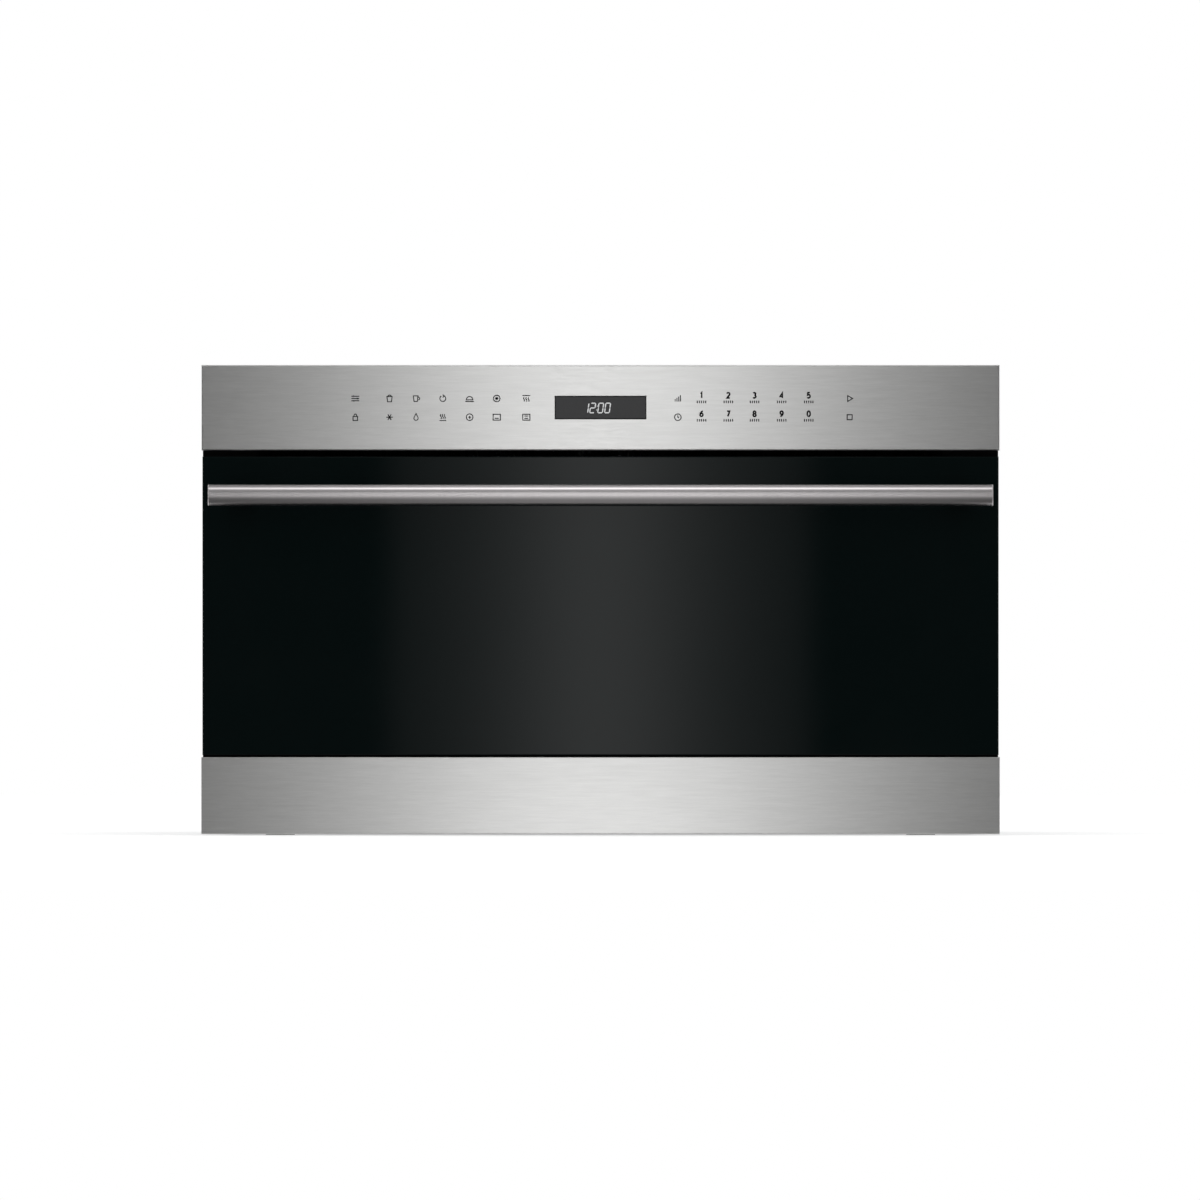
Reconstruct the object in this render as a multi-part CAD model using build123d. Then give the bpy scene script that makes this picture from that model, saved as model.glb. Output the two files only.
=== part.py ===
from build123d import *
import os
from math import acos, atan2, cos, degrees, pi, radians, sin, sqrt

# Built-in speed oven of the 30 inch class with a door that drops forward.
# Millimetres. X runs to the right, -Y is the front, +Z is up.
# The origin is the middle of the footprint, on the surface that the feet stand on.
# Depths below are measured back from the outer face of the door glass.

# Front, as seen square on
front_width = 756.0
door_side_inset = 1.0
trim_lift = 1.0
trim_height = 73.2
door_seam = 2.0
door_height = 282.5
reveal_height = 5.9
fascia_height = 80.9

# Handle
handle_diameter = 20.2
handle_end_inset = 5.7
handle_drop = 36.5
handle_standoff = 42.4
handle_end_bevel = 0.5
post_inset = 32.75
post_base_width = 28.0
post_base_height = 17.0
post_tip_width = 20.0
post_tip_height = 13.0
post_seat_gap = 0.1
handle_screw_radius = 2.4
handle_screw_head_radius = 5.0
handle_screw_head_height = 3.4
glass_hole_clearance = 1.2

# Door, from the glass backwards
glass_thickness = 4.0
glass_edge_bevel = 0.8
pan_inset = 1.0
pan_depth = 32.0
pan_wall = 1.2
pan_side_flange = 54.0
pan_edge_flange = 15.0
choke_step = 4.0
choke_overlap = 24.0
choke_side_overlap = 30.0
choke_wall = 1.2
window_side_inset = 18.0
window_edge_inset = 21.0
window_lip = 6.0
inner_glass_thickness = 3.6
inner_glass_gap = 0.4
inner_glass_clearance = 1.0
screen_thickness = 0.8
screen_overlap = 9.0
door_gap = 2.0

# Hinge at the foot of the door
hinge_set_back = 14.0
hinge_rise = 13.5
hinge_inset = 40.0
hinge_pin_radius = 3.0
hinge_pin_clearance = 0.05
hinge_pin_head_radius = 4.6
hinge_pin_head = 1.4
hinge_plate = 4.0
hinge_eye_radius = 7.5
hinge_neck_half = 6.0
hinge_side_play = 0.4
hinge_slot_play = 1.5
hinge_root_length = 30.0
hinge_root_drop = 24.0
hinge_root_rise = 34.0
hinge_flange = 15.0
leaf_plate = 2.5
leaf_height = 62.0
leaf_nose_radius = 8.0
leaf_base_start = 12.0
swing_gap = 1.0

# Stays: arms curved about the hinge axis
stay_inset = 62.0
stay_radius = 95.0
stay_band = 10.0
stay_plate = 3.0
stay_lug_angle = 6.0
stay_lug_height = 5.0
stay_foot_height = 34.0
stay_foot_width = 18.0
stay_foot_plate = 2.0
stay_slot_play = 0.8
guide_side_play = 0.5
guide_depth = 14.0
guide_width = 22.0
guide_height = 34.0

# Interlock
interlock_inset = 46.0
interlock_drop = 23.0
finger_width = 8.0
finger_height = 14.0
finger_length = 26.0
finger_foot = 24.0
finger_foot_plate = 2.0
finger_slot_play = 1.2
plunger_radius = 3.0
plunger_head_radius = 4.6
plunger_head_length = 3.0
plunger_length = 24.0
plunger_fit = 0.06
plunger_contact_gap = 0.3
switch_body_width = 26.0
switch_body_depth = 52.0
switch_wall = 4.0
microswitch_length = 28.0
microswitch_height = 10.0

# Stainless skins of the fascia and the trim
skin = 1.2
skin_bend = 1.4
skin_gap = 0.3
hem_depth = 2.4
hem_roundness = 0.45
display_width = 87.0
display_height = 22.4
display_drop = 40.3
lens_clearance = 0.2
lens_flange = 4.0
lens_flange_thickness = 1.2
board_thickness = 1.6
key_board_width = 520.0
key_board_height = 58.0
display_block_depth = 7.0
relay_board_width = 300.0
relay_board_height = 62.0
relay_board_standoff = 5.0
standoff_radius = 3.0

# Front frame
frame_sheet = 1.5
frame_side_inset = 1.0
frame_edge_inset = 5.0
mouth_side_inset = 110.0
mouth_top_inset = 28.7
mouth_step = 2.3
mouth_corner_radius = 8.0
cabinet_hole_radius = 2.75
cabinet_hole_inset = 12.0
cabinet_hole_spacing_z = 200.0
cabinet_hole_rise = 42.0
exhaust_slot_length = 40.0
exhaust_slot_height = 5.0
exhaust_slot_count = 12
exhaust_slot_pitch = 54.0
grille_depth = 3.6
grille_height = 8.0

# Chassis
chassis_side_inset = 22.0
chassis_depth = 516.5
chassis_drop = 9.5
chassis_sheet = 1.0
cover_sheet = 1.2
foot_height = 6.0
foot_radius = 15.0
foot_bevel = 1.5
foot_inset_x = 52.0
foot_inset_front = 52.0
foot_inset_back = 40.0
foot_stud_radius = 3.0
foot_stud_length = 6.0
foot_hole_clearance = 0.2
base_flange = 18.0
side_flange = 14.0
vent_slot_length = 46.0
vent_slot_height = 5.0
vent_slot_pitch = 12.0
vent_slot_count = 9
base_slot_length = 30.0
rear_vent_spread = 0.6
stiffener_height = 3.0
stiffener_width = 16.0
stiffener_spread = 0.8
stiffener_slope = 0.8

# Cavity
cavity_wall = 1.2
rear_room = 104.5
floor_sink = 6.0
ceiling_rise = 4.0
rack_rib_height = 5.0
rack_rib_width = 7.0
rack_rib_rise_low = 62.0
rack_rib_rise_high = 132.0
rack_rib_end_gap = 30.0
rack_rib_slope = 0.4
blanket_thickness = 18.0
blanket_play = 0.5

# Turntable
tray_wall_gap = 16.0
tray_thickness = 5.0
tray_rim_height = 12.0
tray_rim_radius = 3.0
tray_flare = 14.4
tray_lift = 14.0
support_ring_inset = 70.0
support_rod_radius = 3.5
support_hub_radius = 22.0
support_hub_height = 9.0
support_spokes = 3
spoke_radius = 2.8
drive_radius = 5.0
drive_fit = 0.1
drive_flat = 3.6
drive_engagement = 0.7
floor_hole_clearance = 1.0
turntable_motor_radius = 25.0
turntable_motor_height = 16.0
motor_ear_reach = 34.0
motor_ear_width = 12.0
motor_ear_thickness = 1.5

# Convection system behind the rear wall
convection_housing_width = 320.0
convection_housing_height = 196.0
convection_housing_depth = 54.0
convection_housing_corner = 36.0
convection_housing_flange = 12.0
convection_wheel_depth = 28.0
convection_wheel_plate = 1.2
convection_blades = 12
convection_blade_reach = 30.0
convection_blade_sheet = 1.2
convection_blade_radius = 42.0
convection_hub_radius = 9.0
convection_shaft_radius = 4.0
convection_shaft_fit = 0.06
convection_shaft_depth = 14.4
convection_shaft_hole_clearance = 0.8
convection_front_gap = 8.0
convection_motor_radius = 38.0
convection_motor_length = 36.0
convection_motor_step = 25.2
convection_motor_cap_radius = 28.5
convection_motor_bore = 18.0
element_tube_radius = 3.6
ring_element_housing_gap = 5.4
ring_element_wheel_gap = 9.4
ring_element_outer = convection_housing_height / 2 - chassis_sheet - ring_element_housing_gap
ring_element_radius = ring_element_outer - element_tube_radius
convection_wheel_radius = ring_element_radius - element_tube_radius - ring_element_wheel_gap
ring_element_gap_angle = 24.0
element_hole_clearance = 0.3
intake_slot_inner = 30.0
intake_slot_outer = 66.0
intake_slot_width = 5.0
intake_slots = 20
outlet_slot_count = 7
outlet_slot_pitch = 13.0
outlet_slot_length = 46.0
outlet_slot_width = 6.0
outlet_offset = 120.0

# Broil element under the ceiling
broil_drop = 12.0
broil_side_inset = 68.0
broil_reach = 330.0
broil_legs = 4
broil_bend_radius = 22.0
broil_terminal_length = 22.0
hanger_width = 6.0
hanger_sheet = 1.2

# Microwave feed on the cavity ceiling
waveguide_width = 44.0
waveguide_height = 90.0
waveguide_length = 140.0
waveguide_wall = 1.2
waveguide_start = 200.0
waveguide_flange = 10.0
feed_slot_width = 36.0
feed_slot_length = 72.0
feed_cover_overlap = 8.0
feed_cover_thickness = 0.8
magnetron_width = 80.0
magnetron_height = 92.0
magnetron_yoke_length = 62.0
magnetron_box_length = 42.0
magnetron_yoke_sheet = 2.0
magnetron_start = 30.0
magnetron_rise = 2.0
filter_box_inset = 10.0
magnet_radius = 27.0
magnet_height = 12.0
anode_radius = 19.0
anode_fins = 7
anode_fin_sheet = 0.8
antenna_radius = 7.0
antenna_reach = 26.0
antenna_hole_clearance = 1.5
antenna_dome = 0.8

# Power supply on the base pan
transformer_width = 106.0
transformer_depth = 58.0
transformer_height = 88.0
transformer_coil_reach = 16.0
transformer_coil_inset = 13.0
transformer_coil_radius = 9.5
transformer_foot = 12.0
transformer_foot_sheet = 2.0
transformer_inset = 106.0
supply_back_gap = 32.0
capacitor_width = 54.0
capacitor_depth = 34.0
capacitor_height = 96.0
capacitor_inset = 120.0
capacitor_rim = 2.0
capacitor_recess = 1.0
capacitor_tab_height = 9.0
capacitor_tab_width = 6.0
capacitor_tab_sheet = 0.8
capacitor_tab_spacing = 21.6

# Cooling blower on the cavity ceiling
blower_start = 420.0
blower_wheel_radius = 48.0
blower_blades = 24
blower_blade_sheet = 1.0
blower_blade_chord = 11.0
blower_tongue_gap = 6.0
blower_growth = 44.0
blower_wall = 1.6
blower_height = 48.0
blower_inlet_radius = 40.0
blower_outlet_length = 74.0
blower_spiral_points = 12
blower_motor_radius = 32.0
blower_motor_height = 34.0
blower_motor_feet = 3
blower_motor_foot = 14.0
blower_motor_foot_sheet = 3.0
blower_shaft_radius = 3.0
blower_shaft_fit = 0.06
blower_shaft_depth = 13.6
blower_shaft_hole_clearance = 1.6
blower_hub_radius = 7.5
blower_hub_height = 19.0
blower_inlet_gap = 5.0
duct_joint_gap = 0.3

# Lamp and sensor
lamp_opening_width = 44.0
lamp_opening_height = 30.0
lamp_start = 120.0
lamp_drop = 46.0
lamp_lens_overlap = 6.0
lamp_lens_thickness = 3.0
lamp_cup_depth = 52.0
lamp_bulb_radius = 9.0
lamp_bulb_length = 24.0
lamp_base_radius = 12.0
lamp_base_length = 14.0
lamp_plate_thickness = 2.0
sensor_radius = 2.4
sensor_reach = 48.0
sensor_flange_radius = 9.0
sensor_flange_thickness = 2.0
sensor_tail_radius = 3.8
sensor_tail_length = 9.0
sensor_drop = 34.0
sensor_inset = 54.0

# Supply entry in the rear panel
bushing_bore_radius = 8.0
bushing_radius = 12.0
bushing_lip = 3.0
bushing_proud = 4.0
bushing_inside = 4.0
bushing_inset = 86.0
bushing_rise = 60.0
terminal_width = 52.0
terminal_depth = 22.0
terminal_height = 26.0
terminal_ways = 3
terminal_barrier = 2.0

# Sheet-metal screws of the chassis
screw_head_radius = 3.6
screw_head_height = 2.2
screw_radius = 1.7
screw_length = 7.0
screw_hole_clearance = 0.2
rear_screw_spread = 0.85

# How far a cutting shape runs past the face it leaves by
overcut = 1.0

# Widths, from the side edges of the front inwards
front_half = front_width / 2
door_width = front_width - door_side_inset * 2
handle_length = door_width - handle_end_inset * 2
post_spacing = handle_length - post_inset * 2
hinge_spacing = front_width - hinge_inset * 2
stay_spacing = front_width - stay_inset * 2
interlock_spacing = front_width - interlock_inset * 2
cabinet_hole_spacing_x = front_width - cabinet_hole_inset * 2
chassis_width = front_width - chassis_side_inset * 2
mouth_width = front_width - mouth_side_inset * 2
window_width = mouth_width - window_side_inset * 2
broil_width = mouth_width - broil_side_inset * 2
cavity_half = mouth_width / 2
chassis_half = chassis_width / 2
transformer_x = chassis_half - transformer_inset
capacitor_x = capacitor_inset - chassis_half
bushing_x = bushing_inset - chassis_half
sensor_x = sensor_inset - cavity_half

# Levels, from the floor upwards
trim_top = trim_lift + trim_height
door_bottom = trim_top + door_seam
door_top = door_bottom + door_height
fascia_bottom = door_top + reveal_height
fascia_top = fascia_bottom + fascia_height
handle_z = door_top - handle_drop
hinge_z = door_bottom + hinge_rise
interlock_z = door_top - pan_inset - interlock_drop
interlock_height = interlock_z - hinge_z
display_z = fascia_top - display_drop

# Depths, from the face of the door glass backwards
pan_back = glass_thickness + pan_depth
door_depth = pan_back + choke_step
frame_front = door_depth + door_gap
frame_back = frame_front + frame_sheet
chassis_back = frame_back + chassis_depth
cavity_depth = chassis_depth - rear_room
tray_radius = cavity_depth / 2 - tray_wall_gap
support_ring_radius = tray_radius - support_ring_inset
handle_reach = handle_standoff + handle_diameter / 2
overall_depth = handle_reach + chassis_back + bushing_proud
glass_y = handle_reach - overall_depth / 2

# The mouth clears the inner face of the door when the door lies level
mouth_bottom = hinge_z + door_depth - hinge_set_back + mouth_step
mouth_top = door_top - mouth_top_inset
mouth_height = mouth_top - mouth_bottom
mouth_z = (mouth_bottom + mouth_top) / 2
window_height = mouth_height - window_edge_inset * 2
floor_z = mouth_bottom - floor_sink
ceiling_z = mouth_top + ceiling_rise
cavity_back = frame_back + cavity_depth
base_z = foot_height
base_top = base_z + cover_sheet
chassis_top = fascia_top - chassis_drop
cover_low = chassis_top - cover_sheet
base_screw_z = base_top + base_flange / 2
cover_screw_z = cover_low - base_flange / 2
bushing_z = base_top + bushing_rise
sensor_z = ceiling_z - sensor_drop
sweep_radius = sqrt(hinge_set_back**2 + hinge_rise**2)
turntable_u = frame_back + cavity_depth / 2
fan_z = (floor_z + ceiling_z) / 2
screw_hole_radius = screw_radius + screw_hole_clearance


def y_at(depth):
    """World Y of a depth behind the face of the door glass."""
    return glass_y + depth


def block(x0, x1, u0, u1, z0, z1):
    """Box between two widths, two depths and two heights."""
    centre = ((x0 + x1) / 2, y_at((u0 + u1) / 2), (z0 + z1) / 2)
    return Pos(*centre) * Box(abs(x1 - x0), abs(u1 - u0), abs(z1 - z0))


def rod_x(x0, x1, u, z, radius):
    """Cylinder along X."""
    return Pos((x0 + x1) / 2, y_at(u), z) * Rot(0, 90, 0) * Cylinder(radius, abs(x1 - x0))


def rod_y(x, u0, u1, z, radius):
    """Cylinder along Y."""
    return Pos(x, y_at((u0 + u1) / 2), z) * Rot(90, 0, 0) * Cylinder(radius, abs(u1 - u0))


def rod_z(x, u, z0, z1, radius):
    """Cylinder along Z."""
    return Pos(x, y_at(u), (z0 + z1) / 2) * Cylinder(radius, abs(z1 - z0))


def profile_x(points, x0, x1):
    """Outline of (depth, height) points carried across the oven from x0 to x1."""
    outline = Polyline(*[(x0, y_at(u), z) for u, z in points], close=True)
    return extrude(make_face(outline), amount=x1 - x0, dir=(1, 0, 0))


def plate_y(shape, u, thickness):
    """Flat shape drawn in width and height, stood up at a depth and thickened backwards."""
    stood = Plane(origin=(0, y_at(u), 0), x_dir=(1, 0, 0), z_dir=(0, -1, 0)) * shape
    return extrude(stood, amount=thickness, dir=(0, 1, 0))


def plate_z(shape, z, thickness):
    """Flat shape drawn in width and world Y, laid at a height and thickened upwards."""
    return extrude(Pos(0, 0, z) * shape, amount=thickness, dir=(0, 0, 1))


def mirrored(shape):
    """The same shape on the other side of the oven's middle plane."""
    return mirror(shape, about=Plane.YZ)


def pair(shape):
    """A shape and its mirror image, as separate solids."""
    return Compound(shape.solids() + mirrored(shape).solids())


def slot_row(count, pitch):
    """Evenly pitched positions about zero."""
    return [(index - (count - 1) / 2) * pitch for index in range(count)]


def edges_at(shape, along, depth, height):
    """Edges parallel to an axis that lie at one depth and one height."""
    near = 0.01
    found = shape.edges().filter_by(along)
    found = found.filter_by_position(Axis.Y, y_at(depth) - near, y_at(depth) + near)
    return found.filter_by_position(Axis.Z, height - near, height + near)


def front_loop(shape):
    """The edges round the foremost face."""
    return shape.faces().sort_by(Axis.Y)[0].edges()


# Stainless skins

ledge_top = hinge_z - sweep_radius - swing_gap


def control_fascia():
    """Folded pan with rounded front edges, open behind, with the display window cut through."""
    half = front_half
    outer = fillet(front_loop(block(-half, half, 0, frame_front, fascia_bottom, fascia_top)), skin_bend)
    inner_half = half - skin
    hollow = block(-inner_half, inner_half, skin, frame_front * 2, fascia_bottom + skin, fascia_top - skin)
    hollow = fillet(front_loop(hollow), skin_bend - skin)
    window = block(
        -display_width / 2,
        display_width / 2,
        -skin,
        skin * 2,
        display_z - display_height / 2,
        display_z + display_height / 2,
    )
    return outer - hollow - window


def lower_trim():
    """Folded pan under the door: a hem along its top, and behind it a ledge below the door's swing."""
    half = front_half
    outer = block(-half, half, 0, frame_front, trim_lift, ledge_top)
    outer += block(-half, half, 0, hem_depth, ledge_top, trim_top)
    hem_edges = edges_at(outer, Axis.X, 0, trim_top) + edges_at(outer, Axis.X, hem_depth, trim_top)
    outer = fillet(hem_edges, hem_depth * hem_roundness)
    outer = fillet(edges_at(outer, Axis.X, 0, trim_lift), skin_bend)
    hollow = block(
        -half + skin,
        half - skin,
        skin,
        frame_front * 2,
        trim_lift + skin,
        ledge_top - skin,
    )
    return outer - hollow


def display_lens():
    """Window filler: a body flush with the skin and a wider flange behind it."""
    half_width = display_width / 2
    half_height = display_height / 2
    body = block(
        -half_width + lens_clearance,
        half_width - lens_clearance,
        0,
        skin,
        display_z - half_height + lens_clearance,
        display_z + half_height - lens_clearance,
    )
    flange = block(
        -half_width - lens_flange,
        half_width + lens_flange,
        skin,
        skin + lens_flange_thickness,
        display_z - half_height - lens_flange,
        display_z + half_height + lens_flange,
    )
    return body + flange


key_field_left = (-242.0, -60.0)
key_field_right = (62.0, 246.0)
key_field_height = 36.0
board_front = skin + lens_flange_thickness + display_block_depth


def key_board():
    """Circuit board with the display block and the two key fields that reach the back of the skin."""
    board = block(
        -key_board_width / 2,
        key_board_width / 2,
        board_front,
        board_front + board_thickness,
        display_z - key_board_height / 2,
        display_z + key_board_height / 2,
    )
    board += block(
        -display_width / 2,
        display_width / 2,
        skin + lens_flange_thickness,
        board_front,
        display_z - display_height / 2,
        display_z + display_height / 2,
    )
    for left, right in (key_field_left, key_field_right):
        low = display_z - key_field_height / 2
        board += block(left, right, skin, board_front, low, low + key_field_height)
    return board


relay_size = (19.0, 16.0, 15.0)
relay_pitch = 26.0
relay_count = 6
relay_board_x = -150.0
board_transformer_size = (36.0, 17.0, 30.0)


def relay_board():
    """Power board on four standoffs, with a row of relays and a small transformer."""
    back = frame_front - relay_board_standoff
    front = back - board_thickness
    left = relay_board_x - relay_board_width / 2
    right = relay_board_x + relay_board_width / 2
    low = display_z - relay_board_height / 2
    high = display_z + relay_board_height / 2
    board = block(left, right, front, back, low, high)
    corner = standoff_radius * 2
    for x in (left + corner, right - corner):
        for z in (low + corner, high - corner):
            board += rod_y(x, back, frame_front, z, standoff_radius)
    width, depth, height = relay_size
    for offset_x in slot_row(relay_count, relay_pitch):
        x = relay_board_x + offset_x
        foot = low + corner
        board += block(x - width / 2, x + width / 2, front - depth, front, foot, foot + height)
    width, depth, height = board_transformer_size
    x = right - width
    head = high - corner
    board += block(x - width / 2, x + width / 2, front - depth, front, head - height, head)
    return board


grille_bar_pitch = 8.0
grille_window = 5.0
grille_lap = 2.0


def exhaust_grille():
    """Black strip in the shadow of the reveal, with a window of bars over each slot of the front frame."""
    low = door_top - grille_lap
    half = exhaust_slot_pitch * exhaust_slot_count / 2
    strip = block(-half, half, frame_front - grille_depth, frame_front, low, low + grille_height - skin_gap)
    middle = (door_top + fascia_bottom) / 2
    bars = int(exhaust_slot_length // grille_bar_pitch)
    cuts = []
    for slot_x in slot_row(exhaust_slot_count, exhaust_slot_pitch):
        for bar_x in slot_row(bars, grille_bar_pitch):
            x = slot_x + bar_x
            half_window = grille_window / 2
            cuts.append(
                block(
                    x - half_window,
                    x + half_window,
                    frame_front - grille_depth * 2,
                    frame_front + grille_depth,
                    middle - grille_window / 2,
                    middle + grille_window / 2,
                )
            )
    return strip - cuts


# Front frame

stay_inner = stay_radius - stay_band / 2
stay_outer = stay_radius + stay_band / 2
frame_plane = frame_front - hinge_set_back
frame_back_plane = frame_back - hinge_set_back
finger_tip = pan_back + finger_foot_plate + finger_length - hinge_set_back
finger_taper = 6.0
finger_low = interlock_height - finger_height / 2
finger_high = interlock_height + finger_height / 2
finger_crest = sqrt((finger_tip - finger_taper) ** 2 + finger_high**2 - frame_plane**2)
finger_path_low = finger_low - finger_slot_play
finger_path_high = finger_crest + finger_slot_play


def front_frame():
    """Flat plate that everything at the front is fastened to, with the oven mouth cut through."""
    half = front_half - frame_side_inset
    low = base_z
    high = fascia_top - frame_edge_inset
    plate = block(-half, half, frame_front, frame_back, low, high)
    mouth = Pos(0, mouth_z) * RectangleRounded(mouth_width, mouth_height, mouth_corner_radius)
    plate -= plate_y(mouth, frame_front - frame_sheet, frame_sheet * 3)
    cuts = []
    before = frame_front - frame_sheet
    after = frame_back + frame_sheet
    for side in (-1, 1):
        x = side * hinge_spacing / 2
        half_slot = hinge_plate / 2 + hinge_side_play
        neck = hinge_neck_half + hinge_side_play
        cuts.append(block(x - half_slot, x + half_slot, before, after, hinge_z - neck, hinge_z + neck))
        x = side * stay_spacing / 2
        half_slot = stay_plate / 2 + stay_slot_play
        slot_low = hinge_z + sqrt(stay_inner**2 - frame_back_plane**2) - stay_slot_play
        slot_high = hinge_z + sqrt(stay_outer**2 - frame_plane**2) + stay_slot_play
        cuts.append(block(x - half_slot, x + half_slot, before, after, slot_low, slot_high))
        x = side * interlock_spacing / 2
        half_slot = finger_width / 2 + finger_slot_play
        slot_low = hinge_z + finger_path_low
        slot_high = hinge_z + finger_path_high
        cuts.append(block(x - half_slot, x + half_slot, before, after, slot_low, slot_high))
        x = side * cabinet_hole_spacing_x / 2
        for rise in (0, cabinet_hole_spacing_z):
            z = hinge_z + cabinet_hole_rise + rise
            cuts.append(rod_y(x, before, after, z, cabinet_hole_radius))
        for z in hinge_screw_heights():
            cuts.append(rod_y(side * hinge_screw_x(), before, after, z, screw_hole_radius))
    middle = (door_top + fascia_bottom) / 2
    for x in slot_row(exhaust_slot_count, exhaust_slot_pitch):
        half_slot = exhaust_slot_length / 2
        slot_low = middle - exhaust_slot_height / 2
        slot_high = middle + exhaust_slot_height / 2
        cuts.append(block(x - half_slot, x + half_slot, before, after, slot_low, slot_high))
    return plate - cuts


def hinge_screw_x():
    """Middle of the flange of a hinge bracket."""
    return hinge_spacing / 2 - hinge_plate / 2 - hinge_flange / 2


def hinge_screw_heights():
    """Two screws, near the foot and near the head of the bracket's flange."""
    margin = screw_head_radius * 2
    return (hinge_z - hinge_root_drop + margin, hinge_z + hinge_root_rise - margin)


# Door

glass_half = door_width / 2
pan_half = glass_half - pan_inset
pan_low = door_bottom + pan_inset
pan_high = door_top - pan_inset
window_low = mouth_z - window_height / 2
window_high = mouth_z + window_height / 2
inner_glass_back = door_depth - choke_wall - inner_glass_gap
inner_glass_front = inner_glass_back - inner_glass_thickness
pan_web = pan_back - pan_wall


def door_glass():
    """Outer glass with bevelled front edges and two holes for the handle screws."""
    glass = block(-glass_half, glass_half, 0, glass_thickness, door_bottom, door_top)
    glass = chamfer(front_loop(glass), glass_edge_bevel)
    for side in (-1, 1):
        radius = handle_screw_radius + glass_hole_clearance
        glass -= rod_y(side * post_spacing / 2, -glass_thickness, glass_thickness * 2, handle_z, radius)
    return glass


def door_frame():
    """Folded pan behind the glass: side walls, a flange bonded to the glass and a web round the window."""
    pan = block(-pan_half, pan_half, glass_thickness, pan_back, pan_low, pan_high)
    pan -= block(
        -pan_half + pan_wall,
        pan_half - pan_wall,
        glass_thickness + pan_wall,
        pan_web,
        pan_low + pan_wall,
        pan_high - pan_wall,
    )
    pan -= block(
        -pan_half + pan_side_flange,
        pan_half - pan_side_flange,
        0,
        glass_thickness + pan_wall * 2,
        pan_low + pan_edge_flange,
        pan_high - pan_edge_flange,
    )
    opening = window_lip + inner_glass_clearance
    pan -= block(
        -window_width / 2 - opening,
        window_width / 2 + opening,
        pan_web - pan_wall,
        pan_back * 2,
        window_low - opening,
        window_high + opening,
    )
    for side in (-1, 1):
        x = side * hinge_spacing / 2
        half_slot = hinge_plate / 2 + hinge_slot_play
        slot_high = hinge_z + hinge_eye_radius + hinge_slot_play
        front = glass_thickness + pan_wall
        pan -= block(x - half_slot, x + half_slot, front, pan_back * 2, door_bottom, slot_high)
        x = side * post_spacing / 2
        hole_radius = handle_screw_radius + glass_hole_clearance
        pan -= rod_y(x, glass_thickness / 2, pan_web / 2, handle_z, hole_radius)
    return pan


choke_half = cavity_half + choke_side_overlap
choke_corner = 12.0


def choke_frame():
    """Shallow folded frame round the window that closes on the front frame when the door is shut."""
    width = choke_half * 2
    height = mouth_height + choke_overlap * 2
    outline = Pos(0, mouth_z) * RectangleRounded(width, height, choke_corner)
    inside = Pos(0, mouth_z) * RectangleRounded(
        width - choke_wall * 2, height - choke_wall * 2, choke_corner - choke_wall
    )
    window = Pos(0, mouth_z) * RectangleRounded(window_width, window_height, choke_corner)
    frame = plate_y(outline, pan_back, choke_step)
    frame -= plate_y(inside, pan_back - choke_wall, choke_step)
    return frame - plate_y(window, pan_back, choke_step * 2)


def inner_glass():
    """Inner window pane, held between the screen and the lip of the choke frame."""
    return block(
        -window_width / 2 - window_lip,
        window_width / 2 + window_lip,
        inner_glass_front,
        inner_glass_back,
        window_low - window_lip,
        window_high + window_lip,
    )


def door_screen():
    """Thin metal screen over the whole window, on the front of the web."""
    reach = window_lip + inner_glass_clearance + screen_overlap
    return block(
        -window_width / 2 - reach,
        window_width / 2 + reach,
        pan_web - screen_thickness,
        pan_web,
        window_low - reach,
        window_high + reach,
    )


# Handle

handle_radius = handle_diameter / 2
handle_screw_fit = 0.05
handle_screw_depth = 8.0
handle_screw_end_gap = 1.0


def handle_bar():
    """Straight round bar with square-cut ends and a blind hole behind for each screw."""
    bar = rod_x(-handle_length / 2, handle_length / 2, -handle_standoff, handle_z, handle_radius)
    ends = [edge for edge in bar.edges() if edge.geom_type == GeomType.CIRCLE]
    bar = chamfer(ends, handle_end_bevel)
    hole_radius = handle_screw_radius + handle_screw_fit
    bar_back = handle_radius - handle_standoff
    hole_end = bar_back - handle_screw_depth
    for side in (-1, 1):
        bar -= rod_y(side * post_spacing / 2, hole_end, bar_back + overcut, handle_z, hole_radius)
    return bar


post_corner = 4.0


def handle_post():
    """Tapered post with a saddle that fits the bar and a through hole for the screw."""
    x = post_spacing / 2
    foot = Plane(origin=(x, y_at(0), handle_z), x_dir=(1, 0, 0), z_dir=(0, -1, 0))
    tip = Plane(origin=(x, y_at(-handle_standoff), handle_z), x_dir=(1, 0, 0), z_dir=(0, -1, 0))
    foot_shape = foot * RectangleRounded(post_base_width, post_base_height, post_corner)
    tip_shape = tip * RectangleRounded(post_tip_width, post_tip_height, post_corner)
    post = loft([foot_shape, tip_shape])
    left = x - post_base_width
    right = x + post_base_width
    post -= rod_x(left, right, -handle_standoff, handle_z, handle_radius + post_seat_gap)
    hole_radius = handle_screw_radius + handle_screw_fit
    return post - rod_y(x, -handle_standoff, glass_thickness, handle_z, hole_radius)


def handle_screw():
    """Long screw from the flange of the door frame through glass and post into the bar."""
    x = post_spacing / 2
    head_start = glass_thickness + pan_wall
    head_end = head_start + handle_screw_head_height
    tip = handle_radius - handle_standoff - handle_screw_depth + handle_screw_end_gap
    shank = rod_y(x, tip, head_start, handle_z, handle_screw_radius)
    return shank + rod_y(x, head_start, head_end, handle_z, handle_screw_head_radius)


# Hinge

pivot_u = hinge_set_back
pin_hole_radius = hinge_pin_radius + hinge_pin_clearance


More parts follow.
